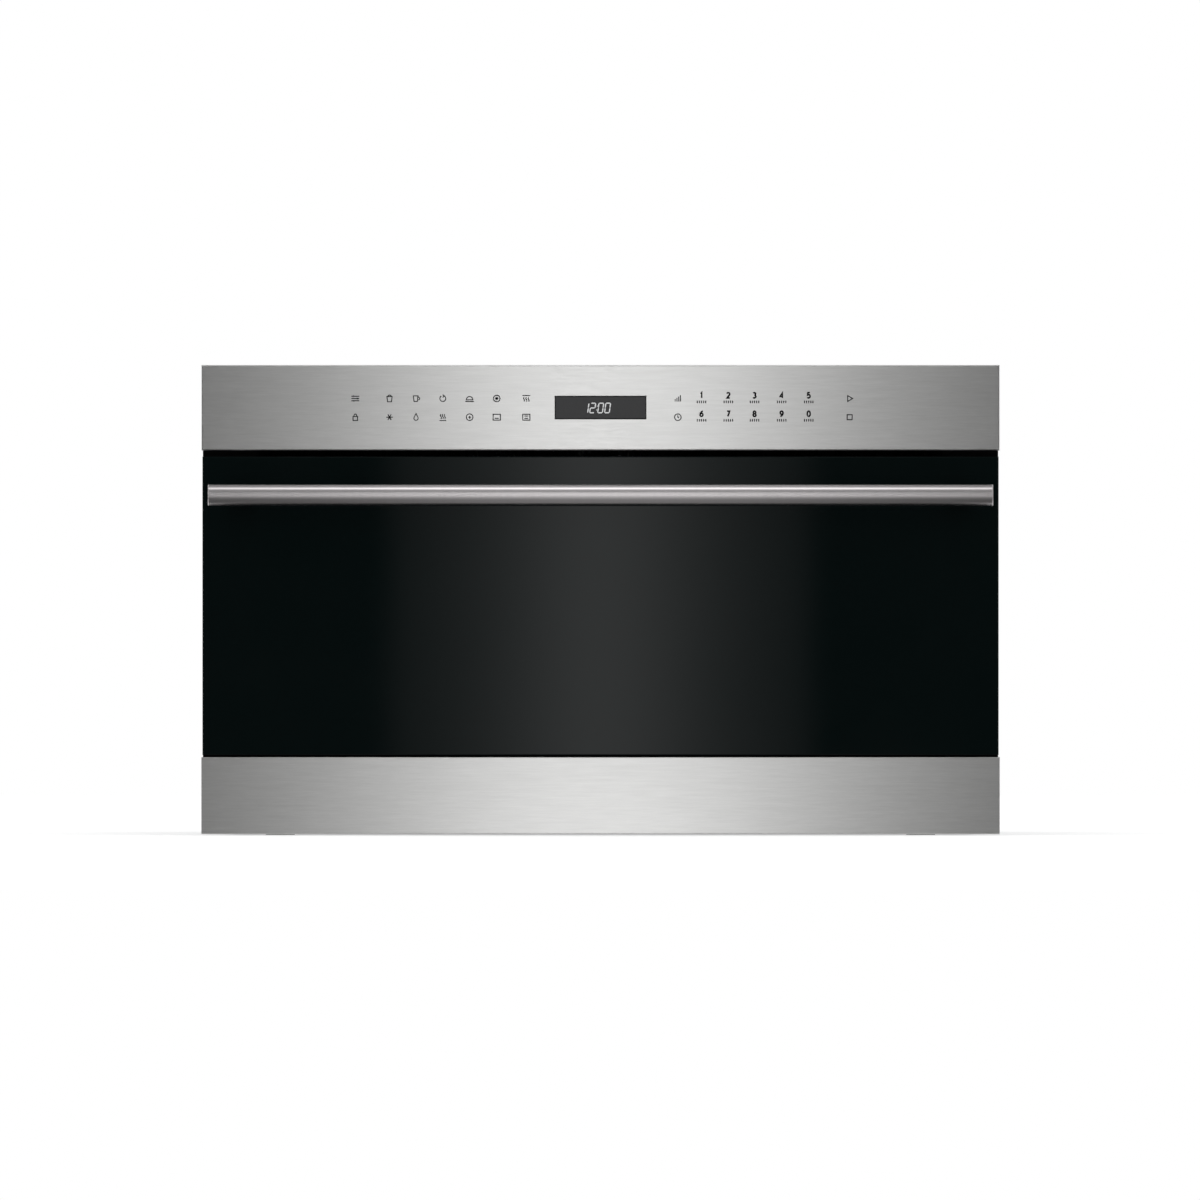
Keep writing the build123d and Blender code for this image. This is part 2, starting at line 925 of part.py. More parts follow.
def hinge_bracket():
    """Chassis half of the hinge: an eye on a neck through the front frame, on a root plate with a flange."""
    x = hinge_spacing / 2
    left = x - hinge_plate / 2
    right = x + hinge_plate / 2
    bracket = rod_x(left, right, pivot_u, hinge_z, hinge_eye_radius)
    bracket += block(left, right, pivot_u, frame_back, hinge_z - hinge_neck_half, hinge_z + hinge_neck_half)
    root = block(
        left,
        right,
        frame_back,
        frame_back + hinge_root_length,
        hinge_z - hinge_root_drop,
        hinge_z + hinge_root_rise,
    )
    back_edges = edges_at(root, Axis.X, frame_back + hinge_root_length, hinge_z - hinge_root_drop)
    back_edges += edges_at(root, Axis.X, frame_back + hinge_root_length, hinge_z + hinge_root_rise)
    bracket += chamfer(back_edges, hinge_root_length / 2)
    bracket += block(
        left - hinge_flange,
        left,
        frame_back,
        frame_back + leaf_plate,
        hinge_z - hinge_root_drop,
        hinge_z + hinge_root_rise,
    )
    bracket -= rod_x(left - overcut, right + overcut, pivot_u, hinge_z, pin_hole_radius)
    for z in hinge_screw_heights():
        hole = rod_y(hinge_screw_x(), frame_front, frame_back * 2, z, screw_hole_radius)
        bracket -= hole
    return bracket


cheek_inner = hinge_plate / 2 + hinge_side_play
cheek_outer = cheek_inner + leaf_plate


def hinge_leaf():
    """Door half of the hinge: two cheeks round the bracket, joined by a base on the web of the pan."""
    x = hinge_spacing / 2
    top = hinge_z + leaf_height
    outline = [
        (pivot_u - leaf_nose_radius, hinge_z),
        (pivot_u - leaf_nose_radius, top - leaf_nose_radius),
        (pivot_u, top),
        (pan_web, top),
        (pan_web, hinge_z + leaf_base_start),
        (pivot_u + leaf_nose_radius, hinge_z),
    ]
    leaf = profile_x(outline, x - cheek_outer, x + cheek_outer)
    leaf += rod_x(x - cheek_outer, x + cheek_outer, pivot_u, hinge_z, leaf_nose_radius)
    throat = block(
        x - cheek_inner,
        x + cheek_inner,
        0,
        pan_web - leaf_plate,
        hinge_z - leaf_nose_radius * 2,
        top * 2,
    )
    throat += block(
        x - cheek_inner,
        x + cheek_inner,
        0,
        pan_back,
        hinge_z - leaf_nose_radius * 2,
        hinge_z + leaf_base_start,
    )
    leaf -= throat
    left = x - cheek_outer - overcut
    right = x + cheek_outer + overcut
    return leaf - rod_x(left, right, pivot_u, hinge_z, pin_hole_radius)


def hinge_pin():
    """Headed pin through both cheeks and the eye."""
    x = hinge_spacing / 2
    head_start = x + cheek_outer
    pin = rod_x(x - cheek_outer - hinge_pin_head, head_start, pivot_u, hinge_z, hinge_pin_radius)
    return pin + rod_x(head_start, head_start + hinge_pin_head, pivot_u, hinge_z, hinge_pin_head_radius)


# Stays, drawn in the plane of the door's swing

guide_back_plane = frame_back_plane + guide_depth
lug_lead = degrees(acos((guide_back_plane + skin_gap) / stay_outer)) - 90
stay_tail = lug_lead - stay_lug_angle


def ring_x(x, half_width, inner, outer):
    """Ring about the hinge axis."""
    ring = rod_x(x - half_width, x + half_width, pivot_u, hinge_z, outer)
    return ring - rod_x(x - half_width * 2, x + half_width * 2, pivot_u, hinge_z, inner)


def wedge_x(x, half_width, angles):
    """Fan from the hinge axis through a list of angles, each above the level behind it."""
    reach = stay_outer * 3
    fan = [(pivot_u, hinge_z)]
    fan += [(pivot_u + reach * cos(radians(a)), hinge_z + reach * sin(radians(a))) for a in angles]
    return profile_x(fan, x - half_width, x + half_width)


def door_stay():
    """Curved arm on a foot, concentric with the hinge, with a lug at its tail that stops the open door."""
    x = stay_spacing / 2
    half = stay_plate / 2
    arm = ring_x(x, half, stay_inner, stay_outer) & wedge_x(x, half, (stay_tail, (stay_tail + 90) / 2, 90))
    arm &= block(x - half, x + half, pan_back, chassis_back, 0, fascia_top)
    lug = ring_x(x, half, stay_inner, stay_outer + stay_lug_height)
    arm += lug & wedge_x(x, half, (stay_tail, lug_lead))
    middle = hinge_z + sqrt(stay_radius**2 - (pan_back - pivot_u) ** 2)
    foot = block(
        x - stay_foot_width / 2,
        x + stay_foot_width / 2,
        pan_back,
        pan_back + stay_foot_plate,
        middle - stay_foot_height / 2,
        middle + stay_foot_height / 2,
    )
    return arm + foot


def stay_guide():
    """Block behind the front frame with a curved channel that brakes the stay and stops its lug."""
    x = stay_spacing / 2
    middle_plane = frame_back_plane + guide_depth / 2
    middle = hinge_z + sqrt(stay_radius**2 - middle_plane**2)
    body = block(
        x - guide_width / 2,
        x + guide_width / 2,
        frame_back,
        frame_back + guide_depth,
        middle - guide_height / 2,
        middle + guide_height / 2,
    )
    channel = ring_x(
        x, stay_plate / 2 + guide_side_play, stay_inner - stay_slot_play, stay_outer + stay_slot_play
    )
    return body - channel


# Interlock

plunger_front = finger_tip + pivot_u + plunger_contact_gap


def interlock_finger():
    """Finger with a tapered nose on a foot plate, which reaches through the front frame."""
    x = interlock_spacing / 2
    half = finger_height / 2
    start = pan_back + finger_foot_plate
    tip = finger_tip + pivot_u
    outline = [
        (start, interlock_z - half),
        (tip - finger_taper, interlock_z - half),
        (tip, interlock_z - half / 2),
        (tip, interlock_z + half / 2),
        (tip - finger_taper, interlock_z + half),
        (start, interlock_z + half),
    ]
    finger = profile_x(outline, x - finger_width / 2, x + finger_width / 2)
    foot = block(
        x - finger_width,
        x + finger_width,
        pan_back,
        start,
        interlock_z - finger_foot / 2,
        interlock_z + finger_foot / 2,
    )
    return finger + foot


def switch_housing():
    """Block behind the front frame with the finger's channel, the plunger's bore and two microswitches."""
    x = interlock_spacing / 2
    half = switch_body_width / 2
    low = hinge_z + finger_path_low - switch_wall
    high = hinge_z + finger_path_high + switch_wall
    body = block(x - half, x + half, frame_back, frame_back + switch_body_depth, low, high)
    channel_half = max(finger_width / 2 + finger_slot_play, plunger_head_radius + plunger_fit)
    channel_end = plunger_front + plunger_head_length + plunger_contact_gap
    body -= block(
        x - channel_half,
        x + channel_half,
        frame_front,
        channel_end,
        hinge_z + finger_path_low,
        hinge_z + finger_path_high,
    )
    body -= rod_y(x, frame_back, chassis_back, interlock_z, plunger_radius + plunger_fit)
    switch_end = frame_back + switch_body_depth
    switch_start = switch_end - microswitch_length
    body += block(x - half, x + half, switch_start, switch_end, high, high + microswitch_height)
    return body + block(x - half, x + half, switch_start, switch_end, low - microswitch_height, low)


def interlock_plunger():
    """Round plunger whose head meets the finger of the shut door."""
    x = interlock_spacing / 2
    head_end = plunger_front + plunger_head_length
    plunger = rod_y(x, plunger_front, head_end, interlock_z, plunger_head_radius)
    return plunger + rod_y(x, head_end, head_end + plunger_length, interlock_z, plunger_radius)


# Chassis

panel_inner = chassis_half - chassis_sheet
rear_inner = chassis_back - chassis_sheet
foot_x = chassis_half - foot_inset_x
foot_depths = (frame_back + foot_inset_front, chassis_back - foot_inset_back)


def rear_screw_positions():
    """Three screws across each long edge of the rear panel."""
    reach = chassis_half * rear_screw_spread
    return (-reach, 0, reach)


def base_pan():
    """Tray between the side panels, with air slots near the front and a hole for the stud of each foot."""
    tray = block(-panel_inner, panel_inner, frame_back, rear_inner, base_z, base_top + base_flange)
    tray -= block(
        -panel_inner + cover_sheet,
        panel_inner - cover_sheet,
        frame_back + cover_sheet,
        rear_inner - cover_sheet,
        base_top,
        chassis_top,
    )
    cuts = []
    for side in (-1, 1):
        for depth in foot_depths:
            radius = foot_stud_radius + foot_hole_clearance
            cuts.append(rod_z(side * foot_x, depth, 0, base_top * 2, radius))
    middle = frame_back + vent_slot_length
    front = middle - base_slot_length / 2
    back = middle + base_slot_length / 2
    for x in slot_row(vent_slot_count, vent_slot_pitch * 2):
        half = vent_slot_height / 2
        cuts.append(block(x - half, x + half, front, back, 0, base_top * 2))
    for x in rear_screw_positions():
        cuts.append(rod_y(x, rear_inner - cover_sheet * 2, chassis_back, base_screw_z, screw_hole_radius))
    return tray - cuts


def cover_screw_depths():
    """Three screws along each side of the top cover."""
    start = frame_back + base_flange * 2
    end = chassis_back - base_flange * 2
    return (start, (start + end) / 2, end)


def feet():
    """Four pads, each with a stud up through the base pan."""
    pads = []
    for x in (-foot_x, foot_x):
        for depth in foot_depths:
            pad = rod_z(x, depth, 0, foot_height, foot_radius)
            pad = chamfer(pad.edges().sort_by(Axis.Z)[0], foot_bevel)
            pad += rod_z(x, depth, foot_height, foot_height + foot_stud_length, foot_stud_radius)
            pads += pad.solids()
    return Compound(pads)


def side_panel():
    """Right side of the chassis: a sheet with a flange under the top cover and a field of louvre slots."""
    panel = block(panel_inner, chassis_half, frame_back, chassis_back, base_z, cover_low)
    panel += block(
        panel_inner - side_flange,
        panel_inner,
        frame_back,
        rear_inner - cover_sheet,
        cover_low - chassis_sheet,
        cover_low,
    )
    cuts = []
    left = panel_inner - overcut
    right = chassis_half + overcut
    end = chassis_back - vent_slot_length
    start = end - vent_slot_length
    half = vent_slot_height / 2
    for rise in slot_row(vent_slot_count, vent_slot_pitch):
        z = fan_z + rise
        slot = block(left, right, start, end, z - half, z + half)
        slot += rod_x(left, right, start, z, half)
        cuts.append(slot + rod_x(left, right, end, z, half))
    x = panel_inner - side_flange / 2
    for depth in cover_screw_depths():
        cuts.append(rod_z(x, depth, cover_low - side_flange, cover_low + overcut, screw_hole_radius))
    return panel - cuts


def top_cover():
    """Sheet with a rear flange, two pressed beads and a field of slots over the blower's inlet."""
    cover = block(-chassis_half, chassis_half, frame_back, chassis_back, cover_low, chassis_top)
    cover += block(
        -panel_inner + side_flange,
        panel_inner - side_flange,
        rear_inner - cover_sheet,
        rear_inner,
        cover_low - base_flange,
        cover_low,
    )
    bead_front = frame_back + vent_slot_length * 2
    for depth in (bead_front, bead_front + vent_slot_length * 3):
        bead = block(
            -chassis_half * stiffener_spread,
            chassis_half * stiffener_spread,
            depth,
            depth + stiffener_width,
            chassis_top,
            chassis_top + stiffener_height,
        )
        cover += chamfer(bead.faces().sort_by(Axis.Z)[-1].edges(), stiffener_height * stiffener_slope)
    cuts = []
    for offset_x in slot_row(vent_slot_count, vent_slot_pitch):
        left = blower_x + offset_x - vent_slot_height / 2
        right = left + vent_slot_height
        front = blower_start - vent_slot_length
        back = blower_start + vent_slot_length
        cuts.append(block(left, right, front, back, cover_low - overcut, chassis_top + overcut))
    for x in (-panel_inner + side_flange / 2, panel_inner - side_flange / 2):
        for depth in cover_screw_depths():
            cuts.append(rod_z(x, depth, cover_low - overcut, chassis_top + overcut, screw_hole_radius))
    for x in rear_screw_positions():
        cuts.append(rod_y(x, rear_inner - cover_sheet * 2, chassis_back, cover_screw_z, screw_hole_radius))
    return cover - cuts


def rear_panel():
    """Flat sheet with two fields of air slots, the supply hole and the screw holes of both long edges."""
    panel = block(-panel_inner, panel_inner, rear_inner, chassis_back, base_z, cover_low)
    cuts = []
    before = rear_inner - chassis_sheet
    after = chassis_back + chassis_sheet
    for field_x in (-chassis_half * rear_vent_spread, chassis_half * rear_vent_spread):
        for rise in slot_row(vent_slot_count, vent_slot_pitch):
            z = fan_z + rise
            half = vent_slot_height / 2
            left = field_x - vent_slot_length / 2
            right = field_x + vent_slot_length / 2
            slot = block(left, right, before, after, z - half, z + half)
            slot += rod_y(left, before, after, z, half)
            cuts.append(slot + rod_y(right, before, after, z, half))
    cuts.append(rod_y(bushing_x, before, after, bushing_z, bushing_radius + screw_hole_clearance))
    for x in rear_screw_positions():
        for z in (base_screw_z, cover_screw_z):
            cuts.append(rod_y(x, before, after, z, screw_hole_radius))
    return panel - cuts


def cable_bushing():
    """Lipped ring in the rear panel that the supply cable or conduit passes through."""
    lip = bushing_radius + bushing_lip
    ring = rod_y(bushing_x, rear_inner, chassis_back, bushing_z, bushing_radius)
    ring += rod_y(bushing_x, chassis_back, chassis_back + bushing_proud, bushing_z, lip)
    ring += rod_y(bushing_x, rear_inner - bushing_inside, rear_inner, bushing_z, lip)
    return ring - rod_y(bushing_x, frame_back, chassis_back * 2, bushing_z, bushing_bore_radius)


def terminal_block():
    """Insulating block on the rear panel with a barrier either side of each way."""
    x = bushing_x + bushing_radius * 2 + terminal_width
    left = x - terminal_width / 2
    low = bushing_z - terminal_height / 2
    high = low + terminal_height
    body = block(left, left + terminal_width, rear_inner - terminal_depth, rear_inner, low, high)
    way = terminal_width / (terminal_ways + 1)
    for offset_x in slot_row(terminal_ways, way + terminal_barrier):
        body -= block(
            x + offset_x - way / 2,
            x + offset_x + way / 2,
            rear_inner - terminal_depth * 2,
            rear_inner - terminal_depth / 2,
            low + screw_radius,
            high - screw_radius,
        )
    return body


def screw(direction):
    """Pan-head screw at the origin whose shank points along +Z, turned to a direction."""
    body = Pos(0, 0, -screw_head_height / 2) * Cylinder(screw_head_radius, screw_head_height)
    body = chamfer(body.edges().sort_by(Axis.Z)[0], screw_head_height / 2)
    body += Pos(0, 0, screw_length / 2) * Cylinder(screw_radius, screw_length)
    return Plane(origin=(0, 0, 0), z_dir=direction) * body


def chassis_screws():
    """Screws of the top cover, the rear panel and the hinge brackets."""
    screws = []
    for x in (-panel_inner + side_flange / 2, panel_inner - side_flange / 2):
        for depth in cover_screw_depths():
            screws.append(Pos(x, y_at(depth), chassis_top) * screw((0, 0, -1)))
    for x in rear_screw_positions():
        for z in (base_screw_z, cover_screw_z):
            screws.append(Pos(x, y_at(chassis_back), z) * screw((0, -1, 0)))
    for side in (-1, 1):
        for z in hinge_screw_heights():
            screws.append(Pos(side * hinge_screw_x(), y_at(frame_front), z) * screw((0, 1, 0)))
    return Compound([solid for item in screws for solid in item.solids()])


# Cavity

floor_under = floor_z - cavity_wall
ceiling_over = ceiling_z + cavity_wall
wall_outer = cavity_half + cavity_wall
rear_wall_back = cavity_back + cavity_wall


def cavity_floor():
    """Floor sheet with the hole for the turntable drive."""
    floor = block(-cavity_half, cavity_half, frame_back, cavity_back, floor_under, floor_z)
    radius = drive_radius + floor_hole_clearance
    return floor - rod_z(0, turntable_u, floor_under - overcut, floor_z + overcut, radius)


hanger_gap = 0.3
broil_z = ceiling_z - broil_drop
broil_front = cavity_back - broil_reach
broil_spans = slot_row(broil_legs, broil_width / (broil_legs - 1))


def cavity_ceiling():
    """Ceiling sheet with the feed slot and a pressed hook under each leg of the broil element."""
    ceiling = block(-cavity_half, cavity_half, frame_back, cavity_back, ceiling_z, ceiling_over)
    middle = waveguide_start + waveguide_length / 2
    ceiling -= block(
        -feed_slot_width / 2,
        feed_slot_width / 2,
        middle - feed_slot_length / 2,
        middle + feed_slot_length / 2,
        ceiling_z - overcut,
        ceiling_over + overcut,
    )
    depth = broil_front + broil_bend_radius * 2
    lip_top = broil_z - element_tube_radius - hanger_gap
    for x in broil_spans:
        side = x + element_tube_radius + hanger_gap
        lip_low = lip_top - hanger_sheet
        strip = block(side, side + hanger_sheet, depth, depth + hanger_width, lip_low, ceiling_z)
        lip = block(x - element_tube_radius, side, depth, depth + hanger_width, lip_low, lip_top)
        ceiling += strip + lip
    return ceiling


def side_wall():
    """Right wall of the cavity, with two pressed ribs that carry a rack."""
    wall = block(cavity_half, wall_outer, frame_back, cavity_back, floor_under, ceiling_over)
    for rise in (rack_rib_rise_low, rack_rib_rise_high):
        rib = block(
            cavity_half - rack_rib_height,
            cavity_half,
            frame_back + rack_rib_end_gap,
            cavity_back - rack_rib_end_gap,
            floor_z + rise,
            floor_z + rise + rack_rib_width,
        )
        wall += chamfer(rib.faces().sort_by(Axis.X)[0].edges(), rack_rib_width * rack_rib_slope)
    return wall


lamp_u = frame_back + lamp_start
lamp_z = ceiling_z - lamp_drop
lamp_cup_half_width = lamp_opening_width / 2 + lamp_lens_overlap * 2
lamp_cup_half_height = lamp_opening_height / 2 + lamp_lens_overlap * 2


def cavity_right():
    """Right wall with the lamp opening cut through."""
    opening = block(
        cavity_half - rack_rib_height * 2,
        wall_outer + overcut,
        lamp_u - lamp_opening_width / 2,
        lamp_u + lamp_opening_width / 2,
        lamp_z - lamp_opening_height / 2,
        lamp_z + lamp_opening_height / 2,
    )
    return side_wall() - opening


def cavity_rear():
    """Rear wall with a ring of intake slots, two columns of outlet slots and holes for element and sensor."""
    wall = block(-wall_outer, wall_outer, cavity_back, rear_wall_back, floor_under, ceiling_over)
    reach = intake_slot_outer - intake_slot_inner
    middle = (intake_slot_inner + intake_slot_outer) / 2
    slots = Sketch()
    for index in range(intake_slots):
        turn = Rot(0, 0, index * 360 / intake_slots)
        slots += Pos(0, fan_z) * turn * Pos(middle, 0) * SlotOverall(reach, intake_slot_width)
    for x in (-outlet_offset, outlet_offset):
        for rise in slot_row(outlet_slot_count, outlet_slot_pitch):
            slots += Pos(x, fan_z + rise) * SlotOverall(outlet_slot_length, outlet_slot_width)
    wall -= plate_y(slots, cavity_back - cavity_wall, cavity_wall * 3)
    before = cavity_back - overcut
    after = rear_wall_back + overcut
    for x in (broil_spans[0], broil_spans[-1]):
        wall -= rod_y(x, before, after, broil_z, element_tube_radius + element_hole_clearance)
    return wall - rod_y(sensor_x, before, after, sensor_z, sensor_radius + element_hole_clearance)


def insulation_blanket():
    """Blanket over the ceiling and down both sides, with a notch for the lamp."""
    inner = wall_outer + blanket_play
    outer = inner + blanket_thickness
    low = floor_under
    inside_top = ceiling_over + blanket_play
    top = inside_top + blanket_thickness
    front = frame_back + blanket_play
    end = waveguide_start - waveguide_flange - blanket_play
    blanket = block(-outer, outer, front, end, inside_top, top)
    for side in (-1, 1):
        blanket += block(side * inner, side * outer, front, cavity_back, low, top)
    return blanket - block(
        inner - overcut,
        outer + overcut,
        lamp_u - lamp_cup_half_width - blanket_play,
        lamp_u + lamp_cup_half_width + blanket_play,
        lamp_z - lamp_cup_half_height - blanket_play,
        lamp_z + lamp_cup_half_height + blanket_play,
    )


def lamp_lens():
    """Glass plate over the lamp opening, on the outer side of the wall."""
    half_width = lamp_opening_width / 2 + lamp_lens_overlap
    half_height = lamp_opening_height / 2 + lamp_lens_overlap
    return block(
        wall_outer,
        wall_outer + lamp_lens_thickness,
        lamp_u - half_width,
        lamp_u + half_width,
        lamp_z - half_height,
        lamp_z + half_height,
    )


def oven_lamp():
    """Reflector cup on the cavity wall, with the socket in its back and the bulb inside."""
    cup = block(
        wall_outer,
        wall_outer + lamp_cup_depth,
        lamp_u - lamp_cup_half_width,
        lamp_u + lamp_cup_half_width,
        lamp_z - lamp_cup_half_height,
        lamp_z + lamp_cup_half_height,
    )
    cup -= block(
        wall_outer - overcut,
        wall_outer + lamp_cup_depth - lamp_plate_thickness,
        lamp_u - lamp_cup_half_width + lamp_plate_thickness,
        lamp_u + lamp_cup_half_width - lamp_plate_thickness,
        lamp_z - lamp_cup_half_height + lamp_plate_thickness,
        lamp_z + lamp_cup_half_height - lamp_plate_thickness,
    )
    cup_back = wall_outer + lamp_cup_depth
    base_start = cup_back - lamp_base_length
    lamp = cup + rod_x(base_start, cup_back + lamp_base_length / 2, lamp_u, lamp_z, lamp_base_radius)
    dome = base_start - lamp_bulb_length + lamp_bulb_radius
    bulb = rod_x(dome, base_start, lamp_u, lamp_z, lamp_bulb_radius)
    bulb += Pos(dome, y_at(lamp_u), lamp_z) * Sphere(lamp_bulb_radius)
    return lamp + bulb


def temperature_sensor():
    """Thin probe through the rear wall with a flange on its outer face."""
    probe = rod_y(sensor_x, cavity_back - sensor_reach, rear_wall_back, sensor_z, sensor_radius)
    end = rear_wall_back + sensor_flange_thickness
    probe += rod_y(sensor_x, rear_wall_back, end, sensor_z, sensor_flange_radius)
    return probe + rod_y(sensor_x, end, end + sensor_tail_length, sensor_z, sensor_tail_radius)


# Turntable

ring_z = floor_z + tray_lift - support_rod_radius
hub_low = floor_z + floor_hole_clearance
drive_bottom = floor_under - turntable_motor_height * drive_engagement
drive_top = hub_low + support_hub_height * drive_engagement


def turntable_motor():
    """Flat geared motor under the floor, with two ears and a bore for the drive shaft."""
    motor = rod_z(0, turntable_u, floor_under - turntable_motor_height, floor_under, turntable_motor_radius)
    motor += block(
        -motor_ear_reach,
        motor_ear_reach,
        turntable_u - motor_ear_width / 2,
        turntable_u + motor_ear_width / 2,
        floor_under - motor_ear_thickness,
        floor_under,
    )
    bore_low = drive_bottom - overcut
    return motor - rod_z(0, turntable_u, bore_low, floor_under + overcut, drive_radius + drive_fit)


def turntable_drive():
    """Drive shaft from the motor through the floor, flat on one side where the hub takes it."""
    shaft = rod_z(0, turntable_u, drive_bottom, drive_top, drive_radius)
    flat = block(
        drive_flat,
        drive_radius * 2,
        turntable_u - drive_radius,
        turntable_u + drive_radius,
        hub_low,
        drive_top + overcut,
    )
    return shaft - flat


def turntable_support():
    """Hub with a socket for the drive shaft, spokes and a ring of round rod that carries the tray."""
    hub = rod_z(0, turntable_u, hub_low, hub_low + support_hub_height, support_hub_radius)
    hub = chamfer(hub.edges().sort_by(Axis.Z)[-1], support_hub_height / 3)
    ring = Pos(0, y_at(turntable_u), ring_z) * Torus(support_ring_radius, support_rod_radius)
    support = hub + ring
    spoke_z = hub_low + support_hub_height / 2
    spoke_angle = degrees(atan2(ring_z - spoke_z, support_ring_radius))
    length = support_ring_radius - support_hub_radius / 2
    spoke = Pos(support_hub_radius / 2 + length / 2, 0, 0) * Rot(0, 90, 0) * Cylinder(spoke_radius, length)
    spoke = Rot(0, -spoke_angle, 0) * spoke
    for index in range(support_spokes):
        turn = Rot(0, 0, 90 + index * 360 / support_spokes)
        support += Pos(0, y_at(turntable_u), spoke_z) * turn * spoke
    socket = rod_z(0, turntable_u, hub_low - overcut, drive_top + drive_fit, drive_radius + drive_fit)
    socket -= block(
        drive_flat + drive_fit,
        drive_radius * 2,
        turntable_u - drive_radius * 2,
        turntable_u + drive_radius * 2,
        hub_low - 2,
        drive_top + overcut,
    )
    return support - socket


def turntable_tray():
    """Round tray turned from one section: a flat bottom, a flared wall and a rolled rim."""
    bottom = tray_radius - tray_flare
    low = floor_z + tray_lift
    section = [
        (0, low),
        (bottom, low),
        (tray_radius - tray_rim_radius, low + tray_rim_height - tray_rim_radius),
        (tray_radius, low + tray_rim_height - tray_rim_radius),
        (tray_radius, low + tray_rim_height),
        (tray_radius - tray_rim_radius * 2, low + tray_rim_height),
        (bottom - tray_rim_radius, low + tray_thickness),
        (0, low + tray_thickness),
    ]
    outline = Polyline(*[(r, 0, z) for r, z in section], close=True)
    tray = revolve(make_face(outline), axis=Axis.Z)
    return Pos(0, y_at(turntable_u), 0) * tray


# Convection system

housing_back = rear_wall_back + convection_housing_depth
wheel_front = rear_wall_back + convection_front_gap
wheel_back = wheel_front + convection_wheel_depth
ring_element_u = (wheel_front + wheel_back) / 2


def ring_element_legs():
    """Middle of each leg of the ring element, at the ends of its gap at the bottom."""
    half_gap = radians(ring_element_gap_angle / 2)
    x = ring_element_radius * sin(half_gap)
    z = fan_z - ring_element_radius * cos(half_gap)
    return [(-x, z), (x, z)]


def convection_housing():
    """Drawn pan with rounded corners behind the rear wall, with a flange and holes for shaft and element."""
    pan_shape = Pos(0, fan_z) * RectangleRounded(
        convection_housing_width, convection_housing_height, convection_housing_corner
    )
    inside = Pos(0, fan_z) * RectangleRounded(
        convection_housing_width - chassis_sheet * 2,
        convection_housing_height - chassis_sheet * 2,
        convection_housing_corner - chassis_sheet,
    )
    flange = Pos(0, fan_z) * RectangleRounded(
        convection_housing_width + convection_housing_flange * 2,
        convection_housing_height + convection_housing_flange * 2,
        convection_housing_corner + convection_housing_flange,
    )
    housing = plate_y(pan_shape, rear_wall_back, convection_housing_depth)
    housing += plate_y(flange, rear_wall_back, chassis_sheet)
    housing -= plate_y(inside, rear_wall_back - overcut, convection_housing_depth - chassis_sheet + overcut)
    shaft_hole = convection_shaft_radius + convection_shaft_hole_clearance
    housing -= rod_y(0, wheel_back, chassis_back, fan_z, shaft_hole)
    for x, z in ring_element_legs():
        housing -= rod_y(x, wheel_back, chassis_back, z, element_tube_radius + element_hole_clearance)
    return housing


def convection_wheel():
    """Back plate with curved blades bent forward, a hub and the shaft that enters the motor."""
    plate_front = wheel_back - convection_wheel_plate
    wheel = rod_y(0, plate_front, wheel_back, fan_z, convection_wheel_radius)
    middle = convection_wheel_radius - convection_blade_reach / 2
    half_sheet = convection_blade_sheet / 2
    strip = Circle(convection_blade_radius + half_sheet) - Circle(convection_blade_radius - half_sheet)
    strip = Pos(middle, -convection_blade_radius) * strip
    rim = Circle(convection_wheel_radius - convection_blade_sheet)
    rim -= Circle(convection_wheel_radius - convection_blade_reach)
    sector = Pos(middle, 0) * Rectangle(convection_blade_reach * 2, convection_blade_reach * 2)
    blade = strip & rim & sector
    for index in range(convection_blades):
        turned = Pos(0, fan_z) * Rot(0, 0, index * 360 / convection_blades) * blade
        wheel += plate_y(turned, wheel_front, plate_front - wheel_front)
    wheel += rod_y(0, wheel_front + convection_front_gap / 2, wheel_back, fan_z, convection_hub_radius)
    shaft_end = housing_back + convection_shaft_depth
    return wheel + rod_y(0, wheel_back, shaft_end, fan_z, convection_shaft_radius)


def convection_motor():
    """Round motor on the back of the housing, stepped towards its end cap, with a bore for the shaft."""
    end = housing_back + convection_motor_length
    step = housing_back + convection_motor_step
    motor = rod_y(0, housing_back, step, fan_z, convection_motor_radius)
    motor += rod_y(0, step, end, fan_z, convection_motor_cap_radius)
    bore_end = housing_back + convection_motor_bore
    bore_radius = convection_shaft_radius + convection_shaft_fit
    return motor - rod_y(0, housing_back - overcut, bore_end, fan_z, bore_radius)


def convection_element():
    """Ring heater round the wheel, open at the bottom, with two legs through the housing."""
    plane = Plane(origin=(0, y_at(ring_element_u), fan_z), x_dir=(1, 0, 0), z_dir=(0, -1, 0))
    start = -90 + ring_element_gap_angle / 2
    path = plane * CenterArc((0, 0), ring_element_radius, start, 360 - ring_element_gap_angle)
    section = Plane(origin=path @ 0, z_dir=path % 0) * Circle(element_tube_radius)
    element = sweep(section, path=path)
    end = housing_back + broil_terminal_length / 2
    for x, z in ring_element_legs():
        element += rod_y(x, ring_element_u, end, z, element_tube_radius)
        element += Pos(x, y_at(ring_element_u), z) * Sphere(element_tube_radius)
    return element


def broil_element():
    """Bent tube heater under the ceiling, both ends out through the rear wall."""
    rear_end = rear_wall_back + broil_terminal_length
    inner_turn = cavity_back - broil_bend_radius * 2
    points = broil_route(rear_end, inner_turn)
    path = FilletPolyline(*points, radius=broil_bend_radius)
    section = Plane(origin=path @ 0, z_dir=path % 0) * Circle(element_tube_radius)
    return sweep(section, path=path)


